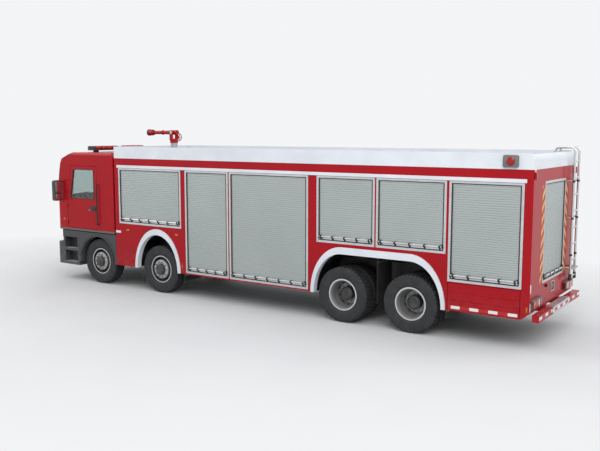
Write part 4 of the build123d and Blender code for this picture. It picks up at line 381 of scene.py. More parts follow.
def wheel_paint(name, dark, middle, bright):
    """Wheel finish by distance from the axle: dark hub cap, grey flange, dark disc, bright rim edge."""
    finish = Finish(name, middle)
    x, z = finish.axes()[::2]
    along = None
    for number in STEERED + DRIVEN:
        reach = abs(x - wheel_centre(number, "left")[0])
        along = reach if along is None else along & reach
    radius = (along ** 2.0 + (z - wheel_centre(1, "left")[2]) ** 2.0) ** 0.5
    fine = finish.noise(38.0, 6.0, 0.65)
    worn = finish.ramp(fine, 0.6, 0.72) * 0.5
    grey = finish.mix(worn, middle, shade(middle, 1.5))
    black = finish.mix(worn, dark, shade(dark, 2.5))
    flange = finish.ramp(radius, 0.141, 0.143) * (1.0 - finish.ramp(radius, 0.206, 0.209))
    # the steered wheels show only the thin outer edge of their rims
    rear = 1.0 - finish.ramp(x, 0.0, 0.1)
    edge = finish.ramp(radius + rear * 0.020, 0.282, 0.286)
    # the twin wheels behind have a dish paler than the disc and darker than the flange: painted shade in the
    # hollow of the deep dish
    dish = finish.ramp(radius, 0.206, 0.209) * rear
    tone = finish.mix(flange, black, grey)
    tone = finish.mix(edge, finish.mix(dish, tone, shade(middle, 0.5)), bright)
    surface, mask = dusty(finish, tone, 0.2, 1.0, 0.3)
    return finish.done(
        surface, worn * 0.2 + 0.42 - edge * 0.08 + mask * 0.3, fine, 0.0012, 0.25, metallic=edge * 0.8
    )


def cast(name, colour):
    """Painted rough casting with a sandy skin, a dull sheen and grease stains."""
    finish = Finish(name, colour)
    skin = finish.noise(160.0, 5.0, 0.7)
    stain = finish.ramp(finish.noise(8.0), 0.5, 0.7)
    surface, mask = dusty(finish, finish.mix(stain, colour, shade(colour, 0.55)), 0.3, 0.9, 0.5)
    return finish.done(surface, 0.62 - stain * 0.2 + mask * 0.2, skin, 0.002, 0.4)


def about(middle, half):
    """The two places at half a width either side of a middle."""
    return (middle - half, middle + half)


def spaced(start, reach, count):
    """Count places from start on, evenly spread over a reach."""
    return [start + reach * step / (count - 1) for step in range(count)]


def corners(first, second, low, high):
    """The corners of a rectangle in their order round it."""
    return ((first, low), (first, high), (second, high), (second, low))


def around(count, start=0.0):
    """Cosine and sine at each of count even steps round a circle."""
    angles = [2 * math.pi * (step + start) / count for step in range(count)]
    return [(math.cos(angle), math.sin(angle)) for angle in angles]


class Shape:
    """Collects faces in the truck's own coordinates and turns them into one piece."""

    def __init__(self):
        self.mesh = bmesh.new()

    def face(self, points):
        return self.mesh.faces.new([self.mesh.verts.new(point) for point in points])

    def block(self, low, high, bevel=0.0):
        """A block between any two opposite corners, its edges rounded off."""
        size = [abs(high[axis] - low[axis]) for axis in range(3)]
        middle = Vector([(high[axis] + low[axis]) / 2 for axis in range(3)])
        made = bmesh.ops.create_cube(self.mesh, size=1.0)["verts"]
        for vert in made:
            vert.co = Vector([vert.co[axis] * size[axis] for axis in range(3)])
        if bevel:
            edges = {edge for vert in made for edge in vert.link_edges}
            reach = min(bevel, min(size) * 0.45)
            result = bmesh.ops.bevel(
                self.mesh, geom=list(edges), offset=reach, segments=2, profile=0.5, affect="EDGES"
            )
            made = list({vert for vert in made if vert.is_valid} | set(result["verts"]))
        for vert in made:
            vert.co += middle
        return self

    def strip(self, here, there, closed=True):
        """The faces between two rings of points."""
        pairs = zip(range(len(here)), [*range(1, len(here)), 0])
        return [
            self.mesh.faces.new([here[i], here[j], there[j], there[i]])
            for i, j in pairs if closed or j
        ]

    def span(self, x, y, z, bevel=0.0):
        """A block from its two ends along each axis."""
        return self.block(*zip(x, y, z), bevel)

    def prism(self, outline, axis, low, high):
        """An outline of (u, v) points made solid along an axis; u and v are the two other axes in order."""
        ends = []
        for place in (low, high):
            ring = []
            for u, v in outline:
                point = [u, v]
                point.insert(axis, place)
                ring.append(self.mesh.verts.new(point))
            ends.append(ring)
        made = self.strip(*ends) + [self.mesh.faces.new(end) for end in ends]
        bmesh.ops.recalc_face_normals(self.mesh, faces=made)
        return self

    def spin(self, profile, centre, axis=1, segments=48, closed=True, sign=1):
        """Turns a profile of (radius, along) points about an axis through centre."""
        others = [other for other in range(3) if other != axis]
        rings = []
        for cosine, sine in around(segments):
            ring = []
            for radius, along in profile:
                point = [0.0, 0.0, 0.0]
                point[axis] = centre[axis] + sign * along
                point[others[0]] = centre[others[0]] + radius * cosine
                point[others[1]] = centre[others[1]] + radius * sine
                ring.append(self.mesh.verts.new(point))
            rings.append(ring)
        made = []
        for here, there in zip(rings, rings[1:] + rings[:1]):
            made += self.strip(here, there, closed)
        verts = [vert for ring in rings for vert in ring]
        bmesh.ops.remove_doubles(self.mesh, verts=verts, dist=1e-6)
        made = [face for face in made if face.is_valid]
        bmesh.ops.recalc_face_normals(self.mesh, faces=made)
        return self

    def rod(self, start, end, radius, sides=12):
        """A round bar between two points."""
        start, end = Vector(start), Vector(end)
        along = end - start
        turn = along.to_track_quat("Z", "Y").to_matrix().to_4x4()
        matrix = Matrix.Translation((start + end) / 2) @ turn
        bmesh.ops.create_cone(
            self.mesh, cap_ends=True, segments=sides, radius1=radius, radius2=radius,
            depth=along.length, matrix=matrix,
        )
        return self

    def bent(self, points, radius, sides=10, bend=0.04, steps=5):
        """A round tube that follows points with rounded corners."""
        path = rounded_path([Vector(point) for point in points], bend, steps)
        rings = []
        normal = None
        for i, point in enumerate(path):
            ahead = (path[min(i + 1, len(path) - 1)] - path[max(i - 1, 0)]).normalized()
            if normal is None:
                normal = ahead.orthogonal().normalized()
            normal = (normal - ahead * normal.dot(ahead)).normalized()
            side = ahead.cross(normal)
            rings.append([
                self.mesh.verts.new(point + (normal * cosine + side * sine) * radius)
                for cosine, sine in around(sides)
            ])
        made = [face for here, there in zip(rings, rings[1:]) for face in self.strip(here, there)]
        made += [self.mesh.faces.new(rings[0]), self.mesh.faces.new(rings[-1])]
        bmesh.ops.recalc_face_normals(self.mesh, faces=made)
        return self

    def bead(self, points, radius, sides=8, bend=0.04):
        """A round tube along a closed path; it starts and ends in the middle of its first run."""
        corners = [Vector(point) for point in points]
        middle = (corners[0] + corners[-1]) / 2
        return self.bent([middle, *corners, middle], radius, sides, bend)

    def add(self, source, keep=None):
        """Takes in another mesh, or only its islands for which keep(low, high) is true."""
        other = bmesh.new()
        other.from_mesh(source)
        bmesh.ops.remove_doubles(other, verts=other.verts, dist=1e-5)
        if keep is not None:
            gone = [vert for low, high, verts in islands_of(other) if not keep(low, high) for vert in verts]
            bmesh.ops.delete(other, geom=gone, context="VERTS")
        temporary = bpy.data.meshes.new("temporary")
        other.to_mesh(temporary)
        other.free()
        self.mesh.from_mesh(temporary)
        bpy.data.meshes.remove(temporary)
        return self

    def data(self, name):
        """Ends the shape as plain mesh data."""
        data = bpy.data.meshes.new(name)
        self.mesh.normal_update()
        self.mesh.to_mesh(data)
        self.mesh.free()
        return data

    def piece(self, name, look, body="chassis", replaces=(), smooth=35.0):
        """Ends the shape as one object that rides on a body."""
        return settle(name, self.data(name), look, body, replaces, smooth)


def settle(name, data, look, body, replaces=(), smooth=35.0, slot=None):
    """Gives finished mesh data its object, finish and body."""
    slot = slot or SLOT_OF.get(look, look)
    data.materials.clear()
    data.materials.append(FINISHES[look])
    data.shade_smooth()
    data.set_sharp_from_angle(angle=math.radians(smooth))
    item = bpy.data.objects.new(name, data)
    bpy.context.scene.collection.objects.link(item)
    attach(item, body)
    if replaces:
        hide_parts(*replaces)
    return item


def rounded_path(points, bend, steps):
    """The points with each corner turned into a short arc."""
    path = [points[0]]
    for before, corner, after in zip(points, points[1:], points[2:]):
        reach = min(bend, (corner - before).length * 0.45, (after - corner).length * 0.45)
        first = corner + (before - corner).normalized() * reach
        second = corner + (after - corner).normalized() * reach
        for step in range(steps + 1):
            part = step / steps
            path.append(first.lerp(corner, part).lerp(corner.lerp(second, part), part))
    path.append(points[-1])
    return path


def islands_of(mesh):
    """The separate solids of a bmesh as (lowest corner, highest corner, vertices)."""
    found = []
    seen = set()
    for start in mesh.verts:
        if start in seen:
            continue
        group = []
        stack = [start]
        seen.add(start)
        while stack:
            vert = stack.pop()
            group.append(vert)
            for edge in vert.link_edges:
                other = edge.other_vert(vert)
                if other not in seen:
                    seen.add(other)
                    stack.append(other)
        low = Vector([min(vert.co[axis] for vert in group) for axis in range(3)])
        high = Vector([max(vert.co[axis] for vert in group) for axis in range(3)])
        found.append((low, high, group))
    return found


def solids(node):
    """The boxes of a CAD node's separate solids."""
    mesh = bmesh.new()
    mesh.from_mesh(NODES[node].data)
    bmesh.ops.remove_doubles(mesh, verts=mesh.verts, dist=1e-5)
    boxes = [(low, high) for low, high, group in islands_of(mesh)]
    mesh.free()
    return sorted(boxes, key=lambda pair: tuple(round(v, 3) for v in pair[0]))


class Layout:
    """A Geometry Nodes tree with named inputs, built node by node."""

    def __init__(self, name, inputs):
        self.tree = bpy.data.node_groups.new(name, "GeometryNodeTree")
        self.tree.interface.new_socket("Geometry", in_out="INPUT", socket_type="NodeSocketGeometry")
        self.names = {}
        for title, kind, value in inputs:
            socket = self.tree.interface.new_socket(title, in_out="INPUT", socket_type=kind)
            if value is not None:
                socket.default_value = value
            self.names[title] = socket.identifier
        self.tree.interface.new_socket("Geometry", in_out="OUTPUT", socket_type="NodeSocketGeometry")
        self.entry = self.tree.nodes.new("NodeGroupInput")
        self.exit = self.tree.nodes.new("NodeGroupOutput")

    def given(self, title):
        return Value(self.tree, self.entry.outputs[title])

    def node(self, kind, settings=None, out=0, **sockets):
        return add_node(self.tree, kind, settings, out, sockets)

    def close(self, geometry, material):
        """Ends the tree in Realize Instances and Set Material."""
        real = self.node("GeometryNodeRealizeInstances", Geometry=geometry)
        done = self.node("GeometryNodeSetMaterial", Geometry=real, Material=material)
        self.tree.links.new(done.socket, self.exit.inputs[0])

    def run(self, data, values):
        """Runs the tree over mesh data and returns the plain mesh that it makes."""
        item = bpy.data.objects.new("layout", data)
        bpy.context.scene.collection.objects.link(item)
        modifier = item.modifiers.new("layout", "NODES")
        modifier.node_group = self.tree
        for title, value in values.items():
            modifier[self.names[title]] = value
        made = plain_mesh(item)
        bpy.data.objects.remove(item)
        bpy.data.meshes.remove(data)
        return made


def marked_points(places):
    """Mesh data of single points, each with the direction that it faces."""
    data = bpy.data.meshes.new("points")
    data.from_pydata([place for place, facing in places], [], [])
    store = data.attributes.new("facing", "FLOAT_VECTOR", "POINT")
    for index, (place, facing) in enumerate(places):
        store.data[index].vector = facing
    return data


def fastener_layout(material):
    """A head with a washer under it at every point, turned to face the point's own way."""
    layout = Layout(
        "Fasteners",
        (
            ("Sides", "NodeSocketInt", 6),
            ("Radius", "NodeSocketFloat", 0.01),
            ("Height", "NodeSocketFloat", 0.008),
            ("Taper", "NodeSocketFloat", 0.9),
            ("Washer", "NodeSocketFloat", 1.4),
        ),
    )
    radius, height = layout.given("Radius"), layout.given("Height")
    wide = radius * layout.given("Washer")
    head = layout.node(
        "GeometryNodeMeshCone", Vertices=layout.given("Sides"),
        Radius_Top=radius * layout.given("Taper"), Radius_Bottom=radius, Depth=height,
    )
    washer = layout.node(
        "GeometryNodeMeshCone", Vertices=12, Radius_Top=wide, Radius_Bottom=wide, Depth=height * 0.25
    )
    joined = layout.tree.nodes.new("GeometryNodeJoinGeometry")
    for part in (head, washer):
        layout.tree.links.new(part.socket, joined.inputs[0])
    both = Value(layout.tree, joined.outputs[0])
    facing = layout.node("GeometryNodeInputNamedAttribute", {"data_type": "FLOAT_VECTOR"}, Name="facing")
    turn = layout.node("FunctionNodeAlignRotationToVector", {"axis": "Z"}, Vector=facing)
    points = layout.node("GeometryNodeMeshToPoints", Mesh=layout.given("Geometry"))
    placed = layout.node("GeometryNodeInstanceOnPoints", Points=points, Instance=both, Rotation=turn)
    layout.close(placed, material)
    return layout


LAYOUTS = {}
BOLT_RADIUS = 0.009


def fasteners(name, places, look, body, radius, height, sides=6, taper=0.9, washer=1.4, slot=None):
    """Bolt heads, nuts or rivets at (place, facing) pairs, as one piece."""
    if look not in LAYOUTS:
        LAYOUTS[look] = fastener_layout(FINISHES[look])
    data = LAYOUTS[look].run(
        marked_points(places),
        {"Sides": sides, "Radius": radius, "Height": height, "Taper": taper, "Washer": washer},
    )
    return settle(name, data, look, body, smooth=30.0, slot=slot)


# Places on the truck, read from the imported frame
BODY_LOW, BODY_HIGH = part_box("body_shell")
FACE_Y = BODY_HIGH[1]
REAR_X = BODY_LOW[0]
STEERED = (1, 2)
DRIVEN = (3, 4)
WHEELS = [(number, side, sign) for side, sign in SIDES for number in STEERED + DRIVEN]


def wheel_node(kind, number, side):
    """A tyre or rim node's name: single on the steered axles, twin on the driven ones."""
    return f"{kind}{'' if number in STEERED else 's'}_{number}_{side}"


def wheel_centre(number, side):
    """The wheel body's middle: its axle's place along the truck, its tyres' middle, its height."""
    low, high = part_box(wheel_node("tyre", number, side))
    return (low + high) / 2


def length(title, text, default):
    """A size in metres that a user may change."""
    return bpy.props.FloatProperty(name=title, description=text, default=default, unit="LENGTH")


def colour(title, text, default):
    """A colour that a user may change."""
    return bpy.props.FloatVectorProperty(
        name=title, description=text, subtype="COLOR", size=3, default=default
    )


class TruckSizes(bpy.types.PropertyGroup):
    """Sizes of the fittings that a user may change."""

    nut_radius: length("Wheel nut radius", "Half the width over a wheel nut's corners", 0.019)
    stud_circle: length("Stud circle radius", "Radius of the ring of wheel studs", 0.1675)
    tread_depth: length("Tread depth", "Depth of the tyre tread's grooves", 0.015)
    tape_height: length("Tape height", "Height of the reflective strips", 0.052)
    tape_piece: length("Tape piece", "Length of each white piece of tape", 0.16)
    tape_pitch: length("Tape pitch", "Distance from one white piece to the next", 0.333)
    rivet_radius: length("Rivet radius", "Radius of the rivets in frames and rails", 0.006)


class TruckColours(bpy.types.PropertyGroup):
    """Colours that a user may change."""

    red: colour("Red", "Main body colour", (0.36, 0.002, 0.008))
    white: colour("White", "Parapet, drip rails and arches", (0.70, 0.73, 0.78))
    shutter: colour("Shutter", "Anodised slats", (0.42, 0.46, 0.45))
    yellow: colour("Yellow", "Chevron tape", (0.82, 0.37, 0.01))


FINISHES = {}
# The slot of each finish that isn't named like its slot
SLOT_OF = {
    "steel": "frame_alloy", "mirror": "frame_alloy", "rim_light": "rim_grey",
    "black_plastic": "trim_plastic", "lamp_grey": "trim_plastic", "screen": "trim_plastic",
    "tape_white": "body_white", "tape_yellow": "body_white", "tape_red": "body_red",
    "white_lens": "lamp_lens", "amber_lens": "lamp_lens", "dark_lens": "lamp_lens",
}


class TRUCK_OT_finishes(bpy.types.Operator):
    """Makes every finish and gives each CAD node the one of its slot"""

    bl_idname = "truck.finishes"
    bl_label = "Finishes"

    def execute(self, context):
        colours = context.scene.truck_colours
        red = tuple(colours.red)
        white = tuple(colours.white)
        FINISHES.update(
            body_red=painted("Body red", red),
            shell_red=painted("Body shell red", red, wells=True),
            body_white=painted("Body white", white, 0.32),
            chassis_black=satin_paint("Chassis black", (0.022, 0.022, 0.024)),
            shutter_alloy=slat_alloy("Shutter alloy", tuple(colours.shutter)),
            frame_alloy=brushed("Frame alloy", (0.62, 0.63, 0.64), 0.28, 2, 0.12),
            tread_alloy=tread_plate("Tread plate", (0.44, 0.45, 0.46)),
            cast_grey=cast("Cast grey", (0.06, 0.06, 0.062)),
            rim_grey=wheel_paint(
                "Wheel grey", (0.022, 0.023, 0.025), (0.27, 0.275, 0.28), (0.62, 0.63, 0.64)
            ),
            rim_light=satin_paint("Wheel light grey", (0.42, 0.43, 0.44), 0.38, 0.3),
            tyre_rubber=rubber("Tyre rubber", (0.018, 0.019, 0.021)),
            flap_rubber=rubber("Flap rubber", (0.02, 0.02, 0.021), 0.62),
            trim_plastic=moulded("Trim plastic", (0.04, 0.042, 0.046), 0.46),
            black_plastic=moulded("Black plastic", (0.012, 0.012, 0.013), 0.35, 0.12),
            cab_trim=moulded("Cab trim", (0.11, 0.107, 0.1), 0.6, 0.0),
            clear_glass=clear("Cab glass", (0.6, 0.69, 0.67)),
            lamp_lens=lens("Red lens", (0.42, 0.006, 0.008), 0.05),
            dark_lens=lens("Dark red lens", (0.22, 0.002, 0.004), 0.02),
            amber_lens=lens("Amber lens", (0.75, 0.2, 0.01), 0.05),
            white_lens=lens("White lens", (0.72, 0.75, 0.78), 0.05),
            screen=lens("Screen", (0.006, 0.009, 0.011)),
            lamp_grey=moulded("Lamp housing", (0.13, 0.13, 0.135), 0.4, 0.2),
            seat_fabric=seat_cloth("Woven cloth", (0.05, 0.05, 0.056)),
            shield_steel=pressed_shield("Heat shield", (0.15, 0.125, 0.11)),
            monitor_paint=painted("Monitor red", red, 0.35, 0.3, 0.0),
            tape_white=tape("White tape", (0.82, 0.83, 0.82)),
            tape_red=tape("Red tape", (0.52, 0.012, 0.012)),
            tape_yellow=tape("Yellow tape", tuple(colours.yellow)),
            mirror=mirror_glass("Mirror glass"),
            steel=brushed("Zinc plated steel", (0.5, 0.49, 0.46), 0.35, 0, 0.3),
        )
        for item in NODES.values():
            for place in item.material_slots:
                place.material = FINISHES[place.material.name.split(".")[0]]
        NODES["body_shell"].material_slots[0].material = FINISHES["shell_red"]
        return {"FINISHED"}


# A sidewall's section as (radius, distance from the tyre's middle)
TYRE_SIDE = (
    (0.2865, 0.1030), (0.3000, 0.1035), (0.3075, 0.1100), (0.3200, 0.1280), (0.3450, 0.1405),
    (0.3500, 0.1425), (0.3560, 0.1405), (0.4000, 0.1485), (0.4300, 0.1498), (0.4600, 0.1480),
    (0.4720, 0.1462), (0.4760, 0.1482), (0.4830, 0.1478), (0.4870, 0.1450), (0.5000, 0.1425),
    (0.5140, 0.1370), (0.5240, 0.1300),
)
# Grooves as (distance from the tyre's middle, width)
STEER_GROOVES = ((0.0850, 0.0105), (0.0300, 0.0095))
DRIVE_GROOVES = ((0.0720, 0.0080), (0.0000, 0.0070))
# Where each pitch of the tread has its rings of points, as shares of the pitch
STEER_CUTS = (0.0, 0.25, 0.5, 0.75)
DRIVE_CUTS = (0.0, 0.03, 0.27, 0.30, 0.5, 0.53, 0.77, 0.80)


def tread_columns(grooves):
    """Offsets across the tread from +shoulder to -shoulder, each with its share of the groove depth."""
    edges = []
    centres = sorted({side * centre for centre, width in grooves for side in (1, -1)}, reverse=True)
    widths = {round(abs(centre), 4): width for centre, width in grooves}
    for centre in centres:
        half = widths[round(abs(centre), 4)] / 2
        floor = half * 0.7
        edges += [(centre + half, 0.0), (centre + floor, 1.0), (centre - floor, 1.0), (centre - half, 0.0)]
    return edges


def tyre_mesh(shape, centre, drive, depth, sign):
    """Sidewalls with rings, and a tread of zigzag ribs or, on driven wheels, staggered blocks."""
    pitches = 42 if drive else 56
    cuts = DRIVE_CUTS if drive else STEER_CUTS
    columns = tread_columns(DRIVE_GROOVES if drive else STEER_GROOVES)
    rings = []
    for pitch in range(pitches):
        for step, cut in enumerate(cuts):
            swing = 0.0 if drive else (0.0035, 0.0, -0.0035, 0.0)[step]
            outer_gap = drive and 0.03 <= cut <= 0.27
            inner_gap = drive and 0.53 <= cut <= 0.77
            walls = []
            for side in (1, -1):
                wall = []
                for radius, offset in TYRE_SIDE:
                    pulled = 0.006 if outer_gap and radius > 0.49 else 0.0
                    wall.append((radius - pulled, side * (offset - pulled)))
                walls.append(wall)
            across = []
            for offset, share in columns:
                crown = 0.530 - 0.0035 * (offset / 0.13) ** 2
                middle = abs(offset) < 0.07
                gap = (inner_gap and middle) or (outer_gap and not middle)
                across.append((crown - depth * (1.0 if gap else share), offset + swing))
            angle = 2 * math.pi * (pitch + cut) / pitches
            rings.append([
                shape.mesh.verts.new((
                    centre[0] + radius * math.cos(angle), centre[1] + sign * offset,
                    centre[2] + radius * math.sin(angle),
                ))
                for radius, offset in walls[0] + across + walls[1][::-1]
            ])
    made = []
    for here, there in zip(rings, rings[1:] + rings[:1]):
        made += shape.strip(here, there)
    bmesh.ops.recalc_face_normals(shape.mesh, faces=made)


class TRUCK_OT_tyres(bpy.types.Operator):
    """Tyres with their sidewall rings and tread, for each wheel body"""

    bl_idname = "truck.tyres"
    bl_label = "Tyres"

    def execute(self, context):
        depth = context.scene.truck_sizes.tread_depth
        for number, side, sign in WHEELS:
            node = wheel_node("tyre", number, side)
            shape = Shape()
            for low, high in solids(node):
                tyre_mesh(shape, (low + high) / 2, number in DRIVEN, depth, sign)
            shape.piece(f"tread_{number}_{side}", "tyre_rubber", BODY_OF[node], (node,), 28.0)
        return {"FINISHED"}


def ring_places(centre, radius, count, y, sign):
    """Points on a ring about a wheel's axis, facing out of the truck."""
    return [
        ((centre[0] + radius * cosine, y, centre[2] + radius * sine), (0.0, sign, 0.0))
        for cosine, sine in around(count)
    ]


STEER_FACE = 0.118
DRIVE_FACE = 0.016


class TRUCK_OT_wheel_fittings(bpy.types.Operator):
    """Nuts, studs and flange ring of each wheel"""

    bl_idname = "truck.wheel_fittings"
    bl_label = "Wheel fittings"

    def execute(self, context):
        sizes = context.scene.truck_sizes
        flange = ((0.125, 0.0), (0.205, 0.0), (0.205, 0.007), (0.2, 0.010), (0.128, 0.010))
        for number, side, sign in WHEELS:
            centre = wheel_centre(number, side)
            body = BODY_OF[wheel_node("rim", number, side)]
            face = centre[1] + sign * (STEER_FACE if number in STEERED else DRIVE_FACE)
            nuts, studs = (
                ring_places(centre, sizes.stud_circle, 10, face + sign * out, sign) for out in (0.018, 0.036)
            )
            fasteners(
                f"wheel_nuts_{number}_{side}", nuts, "steel", body, sizes.nut_radius, 0.024, 6, 0.86, 1.25,
                "rim_grey",
            )
            fasteners(f"wheel_studs_{number}_{side}", studs, "cast_grey", body, 0.010, 0.022, 10, 0.8, 0.9)
            ring = Shape().spin(flange, (centre[0], face, centre[2]), 1, 64, True, sign)
            ring.piece(f"flange_ring_{number}_{side}", "rim_light", body)
        return {"FINISHED"}


FRAME_EDGE = 0.042
RAIL_HEIGHT = 0.095
FRAME_WALL = 0.028
SLAT_PITCH = 0.040
SEAL_WIDTH = 0.022
LIFT_BAR_RADIUS = 0.0165
BRACKET_PITCH = 0.31
RIVET_PITCH = 0.25
# a slat's section as (distance out of the recess, share of the pitch)
SLAT_SECTION = (
    (0.0020, 0.0), (0.0085, 0.0), (0.0112, 0.06), (0.0120, 0.16), (0.0124, 0.5), (0.0120, 0.8),
    (0.0108, 0.90), (0.0058, 0.915), (0.0058, 1.0), (0.0020, 1.0),
)


def row_layout(name, look, axis):
    """Repeats one form along an axis."""
    layout = Layout(name, (("Count", "NodeSocketInt", 20), ("Pitch", "NodeSocketFloat", SLAT_PITCH)))
    step = layout.node("ShaderNodeCombineXYZ", **{axis: layout.given("Pitch")})
    line = layout.node("GeometryNodeMeshLine", {"mode": "OFFSET"}, Count=layout.given("Count"), Offset=step)
    row = layout.node("GeometryNodeInstanceOnPoints", Points=line, Instance=layout.given("Geometry"))
    layout.close(row, FINISHES[look])
    return layout


def slat_curtain(layout, low, high, face):
    """The slats of one shutter, between its frame's uprights and above its lower rail."""
    floor = face.surface - face.sign * FRAME_WALL
    base = low[2] + FRAME_EDGE + RAIL_HEIGHT
    top = high[2] - FRAME_EDGE
    count = max(1, round((top - base) / SLAT_PITCH))
    pitch = (top - base) / count
    outline = [(floor + face.sign * out, base + share * pitch) for out, share in SLAT_SECTION]
    slat = Shape().prism(outline, face.run, low[face.run] + FRAME_EDGE, high[face.run] - FRAME_EDGE)
    return layout.run(slat.data("slat"), {"Count": count, "Pitch": pitch})


class Face:
    """A flat face: the axis it runs along, the axis and sign of the way it faces, and its place."""

    def __init__(self, run, axis, sign, surface):
        self.run = run
        self.axis = axis
        self.sign = sign
        self.surface = surface
        self.way = [0.0, 0.0, 0.0]
        self.way[axis] = sign

    def point(self, along, out, up):
        """A point by its place along the face, its distance out of it and its height."""
        point = [0.0, 0.0, up]
        point[self.run] = along
        point[self.axis] = self.surface + self.sign * out
        return Vector(point)

    def bar(self, shape, along, out, up, bevel=0.0):
        """A block from (start, end) pairs along the face, out of it and upwards."""
        first, second = (self.point(*corner) for corner in zip(along, out, up))
        shape.block(first, second, bevel)


def rear(x):
    """A face across the truck that looks back."""
    return Face(1, 0, -1, x)


def flank(sign, y=None):
    """The body's side face, or a face beside the truck at another y."""
    return Face(0, 1, sign, sign * FACE_Y if y is None else y)


TAIL = rear(REAR_X)


def shutter_boxes():
    """Each shutter's frame as (low, high, its face)."""
    found = []
    for low, high in solids("shutter_frames"):
        if high[0] - low[0] < 0.1:
            found.append((low, high, rear(low[0])))
        elif low[1] > 0:
            found.append((low, high, flank(1, high[1])))
        else:
            found.append((low, high, flank(-1, low[1])))
    return found


class TRUCK_OT_shutters(bpy.types.Operator):
    """Slats, seals, lift bars, brackets, hooks and rivets of the roller shutters"""

    bl_idname = "truck.shutters"
    bl_label = "Shutter fittings"

    def execute(self, context):
        seals, bars, latches, sills, slats = (Shape() for made in range(5))
        rivets = []
        layout = row_layout("Slats", "shutter_alloy", "Z")
        for low, high, face in shutter_boxes():
            curtain = slat_curtain(layout, low, high, face)
            slats.mesh.from_mesh(curtain)
            bpy.data.meshes.remove(curtain)
            start, end = low[face.run] + FRAME_EDGE, high[face.run] - FRAME_EDGE
            base, top = low[2] + FRAME_EDGE, high[2] - FRAME_EDGE
            for along in ((start, start + SEAL_WIDTH), (end - SEAL_WIDTH, end)):
                face.bar(seals, along, (-0.020, -0.004), (base, top))
            face.bar(seals, (start, end), (-0.020, -0.006), (top - 0.016, top))
            # the lower rail: a black rubber lip, a bright profile above it and the grey lift bar in front
            inside = (start + SEAL_WIDTH, end - SEAL_WIDTH)
            face.bar(seals, (start, end), (-0.014, 0.003), (base, base + 0.018), 0.004)
            face.bar(sills, inside, (-0.012, -0.002), (base + 0.020, base + 0.044), 0.003)
            bar_up = base + 0.072
            bars.rod(*(face.point(along, 0.017, bar_up) for along in inside), LIFT_BAR_RADIUS, 18)
            count = max(3, round((end - start) / BRACKET_PITCH) + 1)
            for along in spaced(start + 0.062, end - start - 0.124, count):
                face.bar(latches, about(along, 0.013), (-0.010, 0.016), (base + 0.012, bar_up), 0.004)
                heights = (bar_up - 0.024, bar_up + 0.022)
                face.bar(latches, about(along, 0.019), (-0.010, 0.038), heights, 0.008)
            for corner, way in ((start, 1), (end, -1)):
                for near, far, up in ((-0.004, 0.020, -0.020), (0.012, 0.036, 0.018)):
                    along = (corner + way * near, corner + way * far)
                    heights = (bar_up + up - 0.014, bar_up + up + 0.026)
                    face.bar(latches, along, (-0.008, 0.016), heights, 0.005)
            count = max(4, round((high[2] - low[2]) / RIVET_PITCH)) + 1
            for along in (low[face.run] + FRAME_EDGE / 2, high[face.run] - FRAME_EDGE / 2):
                for up in spaced(low[2] + 0.03, high[2] - low[2] - 0.06, count):
                    rivets.append((face.point(along, 0.0012, up), face.way))
        slats.piece("shutter_slats", "shutter_alloy", "chassis", ("shutters",), 25.0)
        seals.piece("shutter_seals", "flap_rubber")
        bars.piece("shutter_lift_bars", "frame_alloy")
        latches.piece("shutter_latches", "black_plastic")
        sills.piece("shutter_rail_lips", "frame_alloy")
        fasteners(
            "shutter_rivets", rivets, "steel", "chassis",
            context.scene.truck_sizes.rivet_radius, 0.003, 8, 0.6, 1.0,
        )
        return {"FINISHED"}


# Tape stands this far out of its face
TAPE = (0.0, 0.0012)


def tape_run(white, red, face, start, end, up, sizes):
    """A strip of white pieces with red ones between them."""
    heights = about(up, sizes.tape_height / 2)
    place = start
    while place < end - 0.02:
        stop = min(place + sizes.tape_piece, end)
        face.bar(white, (place, stop), TAPE, heights)
        after = min(place + sizes.tape_pitch, end)
        if after - stop > 0.01:
            face.bar(red, (stop, after), TAPE, heights)
        place = after


